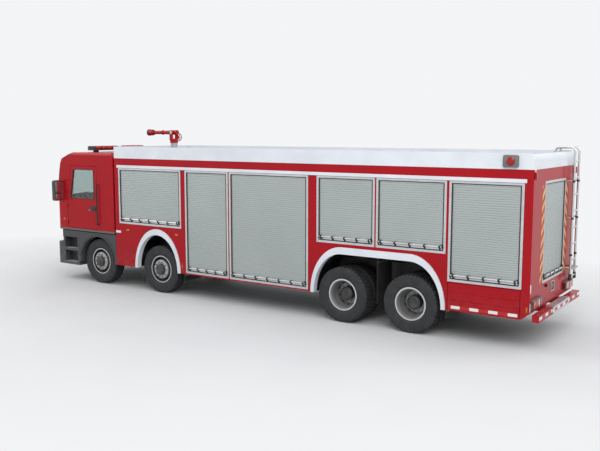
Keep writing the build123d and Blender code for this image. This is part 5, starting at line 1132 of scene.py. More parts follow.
class TRUCK_OT_markings(bpy.types.Operator):
    """Reflective strips, corner marks and chevrons"""

    bl_idname = "truck.markings"
    bl_label = "Markings"

    def execute(self, context):
        sizes = context.scene.truck_sizes
        white, red, yellow = Shape(), Shape(), Shape()
        rivets = []
        self.bumper(white, red, rivets, sizes)
        for sign in (1, -1):
            # upright marks beside the tail lamps
            for mark in (0.733, 1.046):
                along = (sign * (FACE_Y - 0.050), sign * (FACE_Y - 0.005))
                TAIL.bar(white, along, TAPE, about(mark, 0.0735))
                for end in about(mark, 0.062):
                    rivets.append((TAIL.point(sign * (FACE_Y - 0.0275), 0.0018, end), BACK))
            # a piece low down at the front edge of each flank
            front = BODY_HIGH[0] - 0.005
            along = (front - sizes.tape_piece, front)
            flank(sign).bar(white, along, TAPE, (1.275, 1.275 + sizes.tape_height))
            # corner marks round the top of the tail
            top = BODY_HIGH[2] + 0.22
            for reach, low, high in ((0.245, 0.15, 0.10), (0.095, 0.30, 0.15)):
                along = (sign * (FACE_Y - reach), sign * (FACE_Y - 0.045))
                TAIL.bar(white, along, TAPE, (top - low, top - high))
            chevrons(yellow, sign)
        white.piece("tape_white", "tape_white")
        red.piece("tape_red", "tape_red")
        yellow.piece("chevrons", "tape_yellow")
        fasteners(
            "tape_rivets", rivets, "steel", "chassis", sizes.rivet_radius,
            0.003, 8, 0.6, 1.0,
        )
        for side, sign in SIDES:
            white, red = Shape(), Shape()
            low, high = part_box(f"fold_step_{side}")
            face = flank(sign, high[1] if sign > 0 else low[1])
            tape_run(white, red, face, low[0] + 0.06, high[0] - 0.05, low[2] + 0.062, sizes)
            white.piece(f"step_tape_white_{side}", "tape_white", f"step_{side}")
            red.piece(f"step_tape_red_{side}", "tape_red", f"step_{side}")
        return {"FINISHED"}

    def bumper(self, white, red, rivets, sizes):
        """White pieces all along the bumper, with red ones between them on its silver cover."""
        cover = min(solids("tail_fittings"), key=lambda pair: pair[0][2])
        low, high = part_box("rear_bumper")
        up = cover[1][2] - 0.062
        heights = about(up, sizes.tape_height / 2)
        edge = cover[1][1]
        on_cover, beside = rear(cover[0][0]), rear(low[0])
        reach = high[1] - low[1] - sizes.tape_piece
        count = round(reach / sizes.tape_pitch)
        pitch = reach / count
        for step in range(count + 1):
            first = low[1] + step * pitch
            last = first + sizes.tape_piece
            stops = [first] + [stop for stop in (-edge, edge) if first < stop < last] + [last]
            for near, far in zip(stops, stops[1:]):
                face = on_cover if abs(near + far) / 2 < edge else beside
                face.bar(white, (near, far), TAPE, heights)
            for place in (first + 0.012, last - 0.012):
                face = on_cover if abs(place) < edge else beside
                rivets.append((face.point(place, 0.0018, up), BACK))
            near, far = max(last, -edge), min(first + pitch, edge)
            if far - near > 0.02:
                on_cover.bar(red, (near, far), TAPE, heights)


CHEVRON_INNER_Y = 0.623
CHEVRON_OUTER_Y = 0.759
CHEVRON_LOW_Z = 1.045
CHEVRON_HIGH_Z = 2.70
CHEVRON_PITCH = 0.20
CHEVRON_BAND = 0.10


def chevrons(shape, sign):
    """A column of slanted stripes that rise towards the truck's middle, cut level at both ends."""
    width = CHEVRON_OUTER_Y - CHEVRON_INNER_Y
    steps = int((CHEVRON_HIGH_Z - CHEVRON_LOW_Z) / CHEVRON_PITCH) + 2
    for step in range(steps):
        base = CHEVRON_LOW_Z + step * CHEVRON_PITCH
        outline = [
            (CHEVRON_OUTER_Y, base), (CHEVRON_INNER_Y, base + width),
            (CHEVRON_INNER_Y, base + width + CHEVRON_BAND), (CHEVRON_OUTER_Y, base + CHEVRON_BAND),
        ]
        outline = cut_level(cut_level(outline, CHEVRON_LOW_Z, 1), CHEVRON_HIGH_Z, -1)
        if len(outline) > 2:
            shape.prism([(sign * y, z) for y, z in outline], 0, REAR_X, REAR_X - TAPE[1])


class TRUCK_OT_tail(bpy.types.Operator):
    """Square box's lid and latch, plate lamp, the ladder's rubber feet, ribs and tread, bolts and screws"""

    bl_idname = "truck.tail"
    bl_label = "Tail fittings"

    def execute(self, context):
        boxes = solids("tail_fittings")
        cover = min(boxes, key=lambda pair: pair[0][2])
        frame_low, frame_high = max(boxes, key=lambda pair: pair[0][2])
        middle_z = (frame_low[2] + frame_high[2]) / 2
        lid = Shape()
        lid.span((REAR_X + 0.004, REAR_X + 0.022), about(0.0, 0.078), about(middle_z, 0.074), 0.008)
        lid.span((REAR_X - 0.001, REAR_X + 0.006), about(0.0, 0.068), about(middle_z, 0.064), 0.006)
        lid.piece("tail_box_lid", "black_plastic")
        latch = Shape().span((REAR_X - 0.008, REAR_X), about(0.0, 0.008), about(middle_z, 0.035), 0.004)
        latch.rod((REAR_X - 0.010, 0.0, middle_z), (REAR_X, 0.0, middle_z), 0.013, 16)
        latch.piece("tail_box_latch", "steel")
        lamp = Shape().span((REAR_X - 0.030, REAR_X), (0.325, 0.405), (0.962, 0.998), 0.010)
        outline = [(REAR_X, 0.962), (REAR_X - 0.030, 0.962), (REAR_X - 0.018, 0.948), (REAR_X, 0.948)]
        lamp.prism(outline, 1, 0.332, 0.398).piece("plate_lamp", "black_plastic")
        glow = Shape().span((REAR_X - 0.024, REAR_X - 0.006), (0.338, 0.392), (0.957, 0.964), 0.002)
        glow.piece("plate_lamp_lens", "white_lens")
        self.ladder()
        top, screws = [], []
        for y in (-0.44, -0.22, 0.22, 0.44):
            top.append(((cover[0][0] + 0.06, y, cover[1][2] + 0.002), UP))
        for sign in (1, -1):
            for y in (0.60, 0.85, 1.15):
                top.append(((-5.88, sign * y, cover[1][2] - 0.010), UP))
        for side_y in (-0.085, 0.085):
            for up in (frame_low[2] + 0.012, frame_high[2] - 0.012):
                screws.append(((frame_low[0] - 0.001, side_y, up), BACK))
        fasteners("tail_bolts", top, "steel", "chassis", BOLT_RADIUS, 0.007)
        fasteners("box_screws", screws, "steel", "chassis", 0.004, 0.003, 12, 0.7, 1.0)
        return {"FINISHED"}

    def ladder(self):
        """Rubber feet and collars of the rails, ribs of the rungs and the tread of the lowest one."""
        low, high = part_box("ladder")
        rail_x = REAR_X - 0.095
        rails = (low[1] + 0.0225, high[1] - 0.0225)
        feet = Shape()
        foot = (
            (0.0, -0.012), (0.020, -0.012), (0.029, -0.002), (0.030, 0.015), (0.0265, 0.105),
            (0.0235, 0.110), (0.0, 0.110),
        )
        collar = ((0.0232, -0.02), (0.0262, -0.016), (0.0262, 0.016), (0.0232, 0.02))
        for y in rails:
            feet.spin(foot, (rail_x, y, low[2]), 2, 24, False)
            for up in (1.35, 2.02, 2.69):
                feet.spin(collar, (rail_x, y, up), 2, 24)
        feet.piece("ladder_feet", "flap_rubber")
        ribs = [(0.0153, -0.130)]
        for step in range(13):
            place = -0.126 + 0.02 * step
            ribs += [(0.0172, place), (0.0172, place + 0.010)]
            ribs += [(0.0156, place + 0.012), (0.0156, place + 0.018)]
        ribs.append((0.0153, 0.136))
        rungs = Shape()
        up = 0.952
        while up < high[2] - 0.1:
            rungs.spin(ribs, (rail_x, sum(rails) / 2 - 0.003, up), 1, 16)
            up += 0.3
        rungs.piece("ladder_rung_ribs", "frame_alloy")
        across = (rails[0] + 0.026, rails[1] - 0.026)
        tread = Shape().span((rail_x - 0.063, rail_x + 0.060), across, (1.090, 1.1205), 0.004)
        front, back = rail_x - 0.064, rail_x - 0.060
        outline = [(front, 1.1215), (front, 1.092), (back, 1.088), (back, 1.1215)]
        tread.prism(outline, 1, rails[0] + 0.03, rails[1] - 0.03).piece("ladder_tread", "tread_alloy")


def on_nose(y, z, out=0.0):
    """A point of the cab's sloping front above its belt, a little outside the glass."""
    low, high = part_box("windscreen")
    slope = (high[0] - low[0]) / (high[2] - low[2])
    return Vector((high[0] - (z - low[2]) * slope + out, y, z))


NOSE_SKIN = 0.022


class TRUCK_OT_cab_outside(bpy.types.Operator):
    """Windscreen seal, wipers, grille mesh, lamps, handles, mirrors and light bar of the cab"""

    bl_idname = "truck.cab_outside"
    bl_label = "Cab outside"

    def execute(self, context):
        self.windscreen()
        self.nose()
        self.light_bar()
        self.mirrors()
        for side, sign in SIDES:
            self.door(side, sign)
        return {"FINISHED"}

    def windscreen(self):
        low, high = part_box("windscreen")
        half = high[1] + 0.004
        edge = [on_nose(y, z, NOSE_SKIN) for y, z in corners(half, -half, low[2] - 0.004, high[2] + 0.004)]
        Shape().bead(edge, 0.013, 10, 0.07).piece("windscreen_seal", "flap_rubber", "cab")
        band = Shape()
        beside = (low[2] + 0.06, high[2] - 0.08)
        for y0, y1, z0, z1 in (
            (-half, half, high[2] - 0.085, high[2]), (-half, half, low[2], low[2] + 0.065),
            (-half, -half + 0.055, *beside), (half - 0.055, half, *beside),
        ):
            band.face([on_nose(y, z, 0.0015) for z, y in corners(z0, z1, y0, y1)])
        bmesh.ops.solidify(band.mesh, geom=band.mesh.faces[:], thickness=0.0008)
        bmesh.ops.recalc_face_normals(band.mesh, faces=band.mesh.faces[:])
        band.piece("windscreen_band", "black_plastic", "cab")
        wipers = Shape()
        hub = ((0.0, -0.02), (0.022, -0.02), (0.022, 0.006), (0.014, 0.014), (0.0, 0.014))
        for pivot in (0.88, 0.26, -0.36):
            base = on_nose(pivot, low[2] - 0.045, NOSE_SKIN + 0.012)
            elbow = on_nose(pivot - 0.10, low[2] + 0.02, NOSE_SKIN + 0.022)
            tip = on_nose(pivot - 0.42, low[2] + 0.075, NOSE_SKIN + 0.014)
            wipers.spin(hub, base, 0, 20, False)
            wipers.bent([base, elbow, tip], 0.0075, 8)
            start = on_nose(pivot - 0.10, low[2] + 0.055, NOSE_SKIN + 0.003)
            end = on_nose(pivot - 0.67, low[2] + 0.085, NOSE_SKIN + 0.003)
            wipers.rod(start, end, 0.0055, 8)
            lift = Vector((0.008, 0.0, 0.002))
            wipers.bent([start + lift, (start + end) / 2 + lift * 1.9, end + lift], 0.004, 8, 0.2)
        wipers.piece("wipers", "black_plastic", "cab")

    def nose(self):
        low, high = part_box("grille")
        bar_x, bar_y = high[0] - 0.024, low[1] + 0.05
        bar = Shape().rod((bar_x, bar_y, low[2] + 0.045), (bar_x, bar_y, high[2] - 0.045), 0.0028, 6)
        wide = high[1] - low[1] - 0.1
        count = int(wide / 0.018)
        layout = row_layout("Row", "black_plastic", "Y")
        made = layout.run(bar.data("bar"), {"Count": count + 1, "Pitch": wide / count})
        settle("grille_mesh", made, "black_plastic", "cab")
        edge = corners(low[1] + 0.006, high[1] - 0.006, low[2] + 0.006, high[2] - 0.006)
        trim = Shape().bead([(high[0] - 0.002, y, z) for y, z in edge], 0.006, 8, 0.03)
        trim.piece("grille_trim", "frame_alloy", "cab")
        bumper_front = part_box("front_bumper")[1][0]
        rings, discs, fogs = Shape(), Shape(), Shape()
        fog_ring = ((0.036, -0.003), (0.0475, -0.003), (0.0475, 0.014), (0.038, 0.010))
        fog = ((0.0, -0.002), (0.037, -0.002), (0.037, 0.008), (0.022, 0.014), (0.0, 0.016))
        for sign in (1, -1):
            for y, radius in ((0.87, 0.052), (0.99, 0.058)):
                centre = (bumper_front - 0.001, sign * y, 0.672)
                edge = radius + 0.008
                rings.spin(((radius, -0.006), (edge, -0.006), (edge, 0.0), (radius, 0.0025)), centre, 0, 32)
                disc = ((0.0, -0.004), (radius, -0.004), (radius, -0.002), (radius * 0.6, 0.0), (0.0, 0.0008))
                discs.spin(disc, centre, 0, 32, False)
            centre = (bumper_front - 0.030, sign * 0.93, 0.48)
            rings.spin(fog_ring, centre, 0, 32)
            fogs.spin(fog, centre, 0, 32, False)
        rings.piece("lamp_rings", "mirror")
        discs.piece("headlamp_discs", "white_lens")
        fogs.piece("fog_lamps", "white_lens")
        grips, treads = Shape(), Shape()
        for sign in (1, -1):
            path = corners(sign * 0.93, sign * 0.62, 5.897, 5.935)
            grips.bent([(x, y, 1.72) for y, x in path], 0.011, 12, 0.03)
            for up in (0.45, 0.78):
                across = (sign * 1.052, sign * 1.238)
                treads.span((5.186, 5.616), across, (up - 0.001, up + 0.004), 0.002)
        grips.piece("nose_grips", "black_plastic", "cab")
        treads.piece("step_treads", "tread_alloy")
        markers = Shape()
        for y in (-0.86, -0.32, 0.0, 0.32, 0.86):
            markers.span((5.668, 5.712), about(y, 0.05), (2.955, 2.985), 0.008)
        for sign in (1, -1):
            markers.span((5.56, 5.64), (sign * 1.243, sign * 1.257), (1.46, 1.50), 0.005)
        markers.piece("cab_markers", "amber_lens", "cab")

    def light_bar(self):
        low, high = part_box("light_bar")
        base, ends, middle = Shape(), Shape(), Shape()
        inset = (low[0] + 0.010, high[0] - 0.010)
        for side in (1, -1):
            foot = (side * 0.62, side * 0.70)
            base.span((low[0] + 0.09, high[0] - 0.09), foot, (low[2], low[2] + 0.05), 0.006)
        tray = (low[2] + 0.040, low[2] + 0.066)
        base.span((low[0] + 0.008, high[0] - 0.008), (low[1], high[1]), tray, 0.010)
        count = 9
        width = (high[1] - low[1] - 0.03) / count
        ribs = (low[2] + 0.060, high[2] - 0.008)
        for step in range(count):
            y = low[1] + 0.015 + step * width
            shape = middle if step == count // 2 else ends
            shape.span(
                (low[0] + 0.004, high[0] - 0.004), (y + 0.003, y + width - 0.003),
                (low[2] + 0.064, high[2] - 0.002), 0.028,
            )
            base.span(inset, about(y, 0.004), ribs, 0.004)
        base.span(inset, (high[1] - 0.019, high[1] - 0.011), ribs, 0.004)
        base.piece("light_bar_base", "black_plastic", "cab", ("light_bar",))
        ends.piece("light_bar_red", "lamp_lens", "cab")
        middle.piece("light_bar_clear", "white_lens", "cab")

    def mirrors(self):
        glass, frames = Shape(), Shape()
        for low, high in solids("mirrors"):
            y0, y1 = sorted((low[1], high[1]), key=abs)
            sign = 1 if y1 > 0 else -1
            inner, outer = sorted((y0 + sign * 0.078, y1 - sign * 0.018))
            for z0, z1 in ((low[2] + 0.185, high[2] - 0.022), (low[2] + 0.022, low[2] + 0.170)):
                glass.span((low[0] - 0.0025, low[0] + 0.003), (inner, outer), (z0, z1), 0.012)
                edge = [(low[0] - 0.001, y, z) for y, z in corners(inner, outer, z0, z1)]
                frames.bead(edge, 0.005, 8, 0.02)
        glass.piece("mirror_glass", "mirror", "cab")
        frames.piece("mirror_frames", "black_plastic", "cab")

    def door(self, side, sign):
        body = f"cab_door_{side}"
        low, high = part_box(f"door_glass_{side}")
        face = sign * 1.2462
        edge, lean = 0.008, 0.126
        first, last, floor, top = low[0] - edge, high[0] + edge, low[2] - edge, high[2] + edge
        outline = ((first, floor), (first, top), (high[0] - lean + edge, top), (last, floor))
        seal = Shape().bead([(x, face, z) for x, z in outline], 0.0085, 8, 0.05)
        seal.piece(f"window_seal_{side}", "flap_rubber", body)
        grip = Shape()
        outside = flank(sign, face)
        outside.bar(grip, (4.505, 4.655), (0.0, 0.0235), (1.757, 1.798), 0.009)
        outside.bar(grip, (4.470, 4.690), (-0.0015, 0.004), (1.715, 1.835), 0.004)
        grip.piece(f"door_handle_{side}", "black_plastic", body)
        lock = Shape().spin(
            ((0.0, 0.0), (0.013, 0.0), (0.013, 0.003), (0.010, 0.006), (0.0, 0.006)),
            (4.71, face, 1.74), 1, 20, False, sign,
        )
        lock.piece(f"door_lock_{side}", "steel", body)
        path = corners(1.42, 2.35, sign * 1.243, sign * 1.292)
        rail = Shape().bent([(4.405, y, z) for z, y in path], 0.014, 12, 0.03)
        rail.piece(f"grab_rail_{side}", "black_plastic", "cab")


def plain_mesh(item):
    """The evaluated object as a new plain mesh."""
    bpy.context.view_layer.update()
    graph = bpy.context.evaluated_depsgraph_get()
    return bpy.data.meshes.new_from_object(item.evaluated_get(graph))


VOXEL = 0.011
CLOTH_PRESSURE = 4.0
CLOTH_FRAMES = 20
CLOTH_REACH = 0.016


def stuffed(data):
    """Fills a closed pad: an even mesh, cloth under pressure with its movement capped, then rounded once."""
    item = bpy.data.objects.new("pad", data)
    bpy.context.scene.collection.objects.link(item)
    even = item.modifiers.new("even", "REMESH")
    even.mode = "VOXEL"
    even.voxel_size = VOXEL
    item.data = plain_mesh(item)
    item.modifiers.clear()
    before = [vert.co.copy() for vert in item.data.vertices]
    cloth = item.modifiers.new("cloth", "CLOTH")
    cloth.settings.use_pressure = True
    cloth.settings.uniform_pressure_force = CLOTH_PRESSURE
    cloth.settings.effector_weights.gravity = 0.0
    cloth.settings.bending_stiffness = 2.0
    cloth.point_cache.frame_start = 1
    cloth.point_cache.frame_end = CLOTH_FRAMES
    for step in range(1, CLOTH_FRAMES + 1):
        bpy.context.scene.frame_set(step)
    after = plain_mesh(item)
    item.modifiers.clear()
    for vert, start, end in zip(item.data.vertices, before, after.vertices):
        move = end.co - start
        if move.length > CLOTH_REACH:
            move = move.normalized() * CLOTH_REACH
        vert.co = start + move
    bpy.data.meshes.remove(after)
    bpy.context.scene.frame_set(1)
    rounded = item.modifiers.new("rounded", "SUBSURF")
    rounded.levels = 1
    rounded.render_levels = 1
    made = plain_mesh(item)
    bpy.data.objects.remove(item)
    return made


def channel(distance, width=0.009, depth=0.007):
    """How far a sewn line pulls the cloth in at a distance from it."""
    return depth * math.exp(-((distance / width) ** 2))


SEAT_Y = 0.72
SEAT_LEAN = 0.135
BACK_MIDDLE_X = 4.556


class TRUCK_OT_seats(bpy.types.Operator):
    """Padded cushion, back and head rest of each seat, with its shell, posts and buckle"""

    bl_idname = "truck.seats"
    bl_label = "Seats"

    def execute(self, context):
        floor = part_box("cab_seats")[0][2]
        first = ("cab_seats",)
        for side, sign in SIDES:
            y = sign * SEAT_Y
            for name, x0, x1, half, z0, z1, lean, dent in (
                ("cushion", 4.515, 4.985, 0.235, floor + 0.012, floor + 0.098, 0.0, self.cushion_lines),
                ("back", 4.512, 4.600, 0.232, floor + 0.118, floor + 0.818, SEAT_LEAN, self.back_lines),
                ("head_rest", 4.520, 4.600, 0.125, floor + 0.838, floor + 0.985, SEAT_LEAN, None),
            ):
                shape = Shape().span((x0, x1), about(y, half), (z0, z1), 0.028)
                for vert in shape.mesh.verts:
                    vert.co.x -= lean * max(0.0, vert.co.z - floor - 0.1)
                bmesh.ops.recalc_face_normals(shape.mesh, faces=shape.mesh.faces[:])
                made = stuffed(shape.data("pad"))
                if dent:
                    dent(made, y, floor)
                pad = settle(f"seat_{name}_{side}", made, "seat_fabric", "cab", first, 60.0)
                first = ()
            self.trim(side, y, floor)
        return {"FINISHED"}

    def cushion_lines(self, data, y, floor):
        """Two bolsters at the sides and sewn lines across the middle."""
        for vert in data.vertices:
            point = vert.co
            if point.z > floor + 0.05:
                side = abs(point.y - y)
                pull = channel(side - 0.155)
                if side < 0.155:
                    for line in (4.62, 4.72, 4.82, 4.91):
                        pull = max(pull, channel(point.x - line, 0.007, 0.005))
                vert.co.z -= pull + 0.010 * max(0.0, 1.0 - side / 0.15)

    def back_lines(self, data, y, floor):
        for vert in data.vertices:
            point = vert.co
            front = BACK_MIDDLE_X - SEAT_LEAN * (point.z - floor - 0.1)
            if point.x > front:
                side = abs(point.y - y)
                pull = channel(side - 0.150)
                if side < 0.150:
                    for line in (0.27, 0.40, 0.53, 0.66):
                        pull = max(pull, channel(point.z - floor - line, 0.007, 0.005))
                vert.co.x -= pull + 0.008 * max(0.0, 1.0 - side / 0.15)

    def trim(self, side, y, floor):
        posts = Shape()
        for offset in (-0.06, 0.06):
            foot = (BACK_MIDDLE_X - SEAT_LEAN * 0.70, y + offset, floor + 0.79)
            posts.rod(foot, (BACK_MIDDLE_X - SEAT_LEAN * 0.78, y + offset, floor + 0.87), 0.007, 10)
        posts.piece(f"seat_posts_{side}", "steel", "cab")
        low, high = floor + 0.13, floor + 0.80
        outline = [(4.496, low), (4.508, low), (4.508 - 0.1, high), (4.496 - 0.1, high)]
        shell = Shape().prism(outline, 1, *about(y, 0.215))
        shell.span((4.53, 4.97), about(y, 0.22), (floor + 0.0005, floor + 0.020), 0.006)
        shell.piece(f"seat_shell_{side}", "cab_trim", "cab")
        sign = 1 if y > 0 else -1
        across = (y - sign * 0.262, y - sign * 0.250)
        belt = Shape().span((4.62, 4.67), across, (floor + 0.02, floor + 0.16), 0.005)
        belt.piece(f"seat_buckle_{side}", "black_plastic", "cab")


class TRUCK_OT_dash(bpy.types.Operator):
    """Instrument hood, dials, screen, air vents and stalks"""

    bl_idname = "truck.dash"
    bl_label = "Dashboard"

    def execute(self, context):
        hood, rims, faces = Shape(), Shape(), Shape()
        hood.prism([(5.375, 1.962), (5.355, 2.028), (5.40, 2.046), (5.47, 1.985)], 1, 0.545, 0.895)
        hood.block((5.36, -0.19, 1.965), (5.385, 0.13, 2.125), 0.010)
        hood.prism([(5.385, 1.97), (5.385, 2.03), (5.43, 1.972)], 1, -0.09, 0.03)
        hood.bent([(5.300, 0.80, 1.90), (5.285, 0.93, 1.93)], 0.008, 10)
        hood.bent([(5.300, 0.64, 1.90), (5.285, 0.51, 1.93)], 0.008, 10)
        hood.bent([(5.02, 0.33, 1.555), (5.03, 0.33, 1.69), (5.00, 0.33, 1.78)], 0.010, 12)
        hood.piece("dash_hood", "black_plastic", "cab")
        for y, z, radius in ((0.635, 1.995, 0.026), (0.72, 1.995, 0.016), (0.805, 1.995, 0.026)):
            centre = (5.362, y, z)
            faces.spin(((0.0, 0.0), (radius, 0.0), (radius, -0.003), (0.0, -0.003)), centre, 0, 28, False)
            ring = ((radius, 0.002), (radius + 0.004, 0.002), (radius + 0.003, -0.007), (radius, -0.005))
            rims.spin(ring, centre, 0, 28)
        for y in (-0.95, -0.55, 0.30, 1.02):
            centre = (5.398, y, 1.905)
            rims.spin(((0.034, 0.006), (0.044, 0.006), (0.042, -0.008), (0.036, -0.006)), centre, 0, 28)
            for offset in (-0.018, 0.0, 0.018):
                rims.block((5.390, y - 0.034, 1.903 + offset), (5.402, y + 0.034, 1.907 + offset))
        faces.block((5.357, -0.175, 1.98), (5.361, 0.115, 2.11), 0.0015)
        rims.piece("dash_rims", "lamp_grey", "cab")
        faces.piece("dash_faces", "screen", "cab")
        return {"FINISHED"}


def level_ring(x, z, radius, count):
    """Points on a level ring in the truck's middle plane, facing up."""
    return [((x + radius * cosine, radius * sine, z), UP) for cosine, sine in around(count, 0.5)]


class TRUCK_OT_roof(bpy.types.Operator):
    """Bolts and grip of the manhole, the deck's bolts and the water monitor's rings, teeth and caps"""

    bl_idname = "truck.roof"
    bl_label = "Roof fittings"

    def execute(self, context):
        hatch_low, hatch_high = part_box("hatch_lid")
        lid_x = hatch_high[0] - 0.272
        lid_z = hatch_low[2] + 0.030
        bolts = level_ring(lid_x, lid_z + 0.003, 0.243, 12)
        fasteners("hatch_bolts", bolts, "steel", "hatch", BOLT_RADIUS, 0.007)
        profile = (
            (0.0, -0.066), (0.0125, -0.064), (0.0140, -0.045), (0.0140, 0.045), (0.0125, 0.064),
            (0.0, 0.066),
        )
        grip = Shape().spin(profile, (lid_x + 0.19, 0.0, lid_z + 0.0375), 1, 20, False)
        grip.piece("hatch_grip", "flap_rubber", "hatch")
        barrel_low, barrel_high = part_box("monitor_barrel")
        monitor_x = barrel_low[0] + 0.110
        deck_low, deck_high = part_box("roof_deck")
        deck = deck_low[2] + 0.012
        bolts = level_ring(monitor_x, deck + 0.0235, 0.122, 8)
        for side in (1, -1):
            for x in spaced(deck_low[0] + 0.1, deck_high[0] - deck_low[0] - 0.2, 32):
                bolts.append(((x, side * (deck_high[1] - 0.03), deck + 0.0015), UP))
        fasteners("roof_bolts", bolts, "steel", "chassis", BOLT_RADIUS, 0.006)
        rings = Shape()
        centre = (0.0, 0.0, (barrel_low[2] + barrel_high[2]) / 2)
        tip = barrel_high[0]
        muzzle = (
            (0.0725, tip - 0.050), (0.0775, tip - 0.046), (0.0775, tip - 0.006),
            (0.0715, tip - 0.001), (0.0600, tip - 0.001), (0.0600, tip - 0.01),
        )
        rings.spin(muzzle, centre, 0, 40, False)
        for start in (tip - 0.19, tip - 0.48, monitor_x + 0.10):
            end = start + 0.012
            rings.spin(((0.040, start), (0.0545, start), (0.0545, end), (0.040, end)), centre, 0, 36)
        rings.piece("barrel_rings", "flap_rubber", "barrel")
        teeth = Shape()
        for cosine, sine in around(16):
            at = Vector((tip - 0.002, 0.066 * cosine, centre[2] + 0.066 * sine))
            teeth.block(at - Vector((0.004, 0.004, 0.004)), at + Vector((0.003, 0.004, 0.004)), 0.001)
        teeth.piece("nozzle_teeth", "frame_alloy", "barrel")
        caps = Shape()
        for side in (1, -1):
            caps.spin(
                ((0.0, 0.0), (0.040, 0.0), (0.040, 0.004), (0.032, 0.010), (0.0, 0.010)),
                (monitor_x, side * 0.106, centre[2]), 1, 28, False, side,
            )
        caps.piece("turret_caps", "steel", "turret")
        return {"FINISHED"}


class TRUCK_OT_underside(bpy.types.Operator):
    """Bolts of the frame, straps of the tanks, spring clips, brake chamber clamps and mudflap strips"""

    bl_idname = "truck.underside"
    bl_label = "Underside fittings"

    def execute(self, context):
        bolts = []
        rail_y = 0.431
        for side in (1, -1):
            for step in range(43):
                x = -5.55 + 0.26 * step
                for up in (0.835, 1.03):
                    bolts.append(((x, side * rail_y, up), (0.0, side, 0.0)))
        straps, strips = Shape(), Shape()
        for low, high in solids("air_tanks"):
            middle = (low + high) / 2
            for share in (0.2, 0.8):
                x = low[0] + (high[0] - low[0]) * share
                straps.spin(
                    ((0.0585, -0.016), (0.0615, -0.016), (0.0615, 0.016), (0.0585, 0.016)),
                    (x, middle[1], middle[2]), 0, 32,
                )
            boss = ((0.0, 0.0), (0.020, 0.0), (0.016, 0.012), (0.0, 0.014))
            for end, way in ((low[0], -1), (high[0], 1)):
                straps.spin(boss, (end, middle[1], middle[2]), 0, 16, False, way)
        straps.piece("tank_straps", "steel")
        for low, high in solids("mudflaps"):
            z = high[2] - 0.05 if high[2] < 0.6 else high[2] - 0.12
            across = (low[1] + 0.02, high[1] - 0.02)
            strips.span((low[0] - 0.003, low[0] + 0.001), across, about(z, 0.02), 0.001)
            for y in spaced(low[1] + 0.06, high[1] - low[1] - 0.12, 5):
                bolts.append(((low[0] - 0.005, y, z), BACK))
        strips.piece("flap_strips", "steel")
        clips = Shape()
        for number in STEERED:
            x = wheel_centre(number, "left")[0]
            for side in (1, -1):
                for offset in (-0.045, 0.045):
                    path = corners(side * 0.342, side * 0.438, 0.40, 0.583)
                    clips.bent([(x + offset, y, z) for y, z in path], 0.0095, 8, 0.02)
                for share in (-0.55, 0.55):
                    at = x + share * 0.6
                    clips.span(about(at, 0.015), about(side * 0.39, 0.047), (0.515, 0.585), 0.003)
        clips.piece("spring_clips", "chassis_black")
        clamps = Shape()
        for number in DRIVEN:
            x = wheel_centre(number, "left")[0] - 0.075
            for side in (1, -1):
                clamps.spin(
                    ((0.066, -0.012), (0.0705, -0.009), (0.0705, 0.009), (0.066, 0.012)),
                    (x - 0.125, side * 0.508, 0.56), 0, 32,
                )
        clamps.piece("chamber_clamps", "steel")
        fasteners("frame_bolts", bolts, "chassis_black", "chassis", 0.011, 0.010)
        return {"FINISHED"}


class TRUCK_OT_body_trim(bpy.types.Operator):
    """Rubber beads, seams, reflectors and edge angles of the body, bolts of the heat shield"""

    bl_idname = "truck.body_trim"
    bl_label = "Body trim"

    def execute(self, context):
        beads, amber, seams, angles = Shape(), Shape(), Shape(), Shape()
        body_front = BODY_HIGH[0]
        drip_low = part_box("body_fascia")[0][2]
        for side in (1, -1):
            face = flank(side)
            face.bar(beads, (REAR_X + 0.11, body_front - 0.09), (0.0, 0.010), (drip_low - 0.006, drip_low))
            # upright seams of the outer panels, and the seam under the parapet
            for x in (REAR_X + 0.118, body_front - 0.10):
                face.bar(seams, (x, x + 0.0025), (-0.001, 0.0006), (1.35, drip_low))
            face.bar(seams, (REAR_X, body_front), (-0.001, 0.0008), about(BODY_HIGH[2], 0.0015))
            arch = max(low[0] for low, high in solids("wheel_arches") if high[1] * side > 0)
            frames = [
                high[0] for low, high, shutter in shutter_boxes() if shutter.run == 0 and high[0] < arch
            ]
            for x, up in ((REAR_X + 0.045, 0.66), ((arch + max(frames)) / 2, 0.63)):
                face.bar(amber, about(x, 0.012), (0.0, 0.006), (up, up + 0.085), 0.003)
            angles.block(
                (REAR_X + 0.061, side * (FACE_Y - 0.0605), BODY_HIGH[2] + 0.012),
                (body_front - 0.061, side * (FACE_Y - 0.0655), BODY_HIGH[2] + 0.062),
            )
        beads.piece("drip_beads", "flap_rubber")
        seams.piece("panel_seams", "black_plastic")
        # these reflectors are no lamps: the faint glow of the amber lens finish on them is painted light
        amber.piece("side_reflectors", "amber_lens")
        angles.piece("deck_angles", "frame_alloy")
        low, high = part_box("heat_shield")
        places = corners(low[0] + 0.038, high[0] - 0.038, low[2] + 0.038, high[2] - 0.038)
        bolts = [((x, low[1] + 0.004, z), (0.0, -1.0, 0.0)) for x, z in places]
        fasteners("shield_bolts", bolts, "steel", "chassis", 0.008, 0.006)
        return {"FINISHED"}


def cut_level(outline, level, keep):
    """The part of an outline above a level, or below it where keep is -1."""
    kept = []
    for first, second in zip(outline, outline[1:] + outline[:1]):
        inside = [(point[1] - level) * keep >= 0 for point in (first, second)]
        if inside[0]:
            kept.append(first)
        if inside[0] != inside[1]:
            part = (level - first[1]) / (second[1] - first[1])
            kept.append((first[0] + part * (second[0] - first[0]), level))
    return kept


# Tail lamp lenses from the outside in: share of the lamp's width, finish
TAIL_LENSES = (
    (0.10, "dark_lens"), (0.13, "amber_lens"), (0.38, "lamp_lens"), (0.13, "white_lens"), (0.26, "dark_lens"),
)


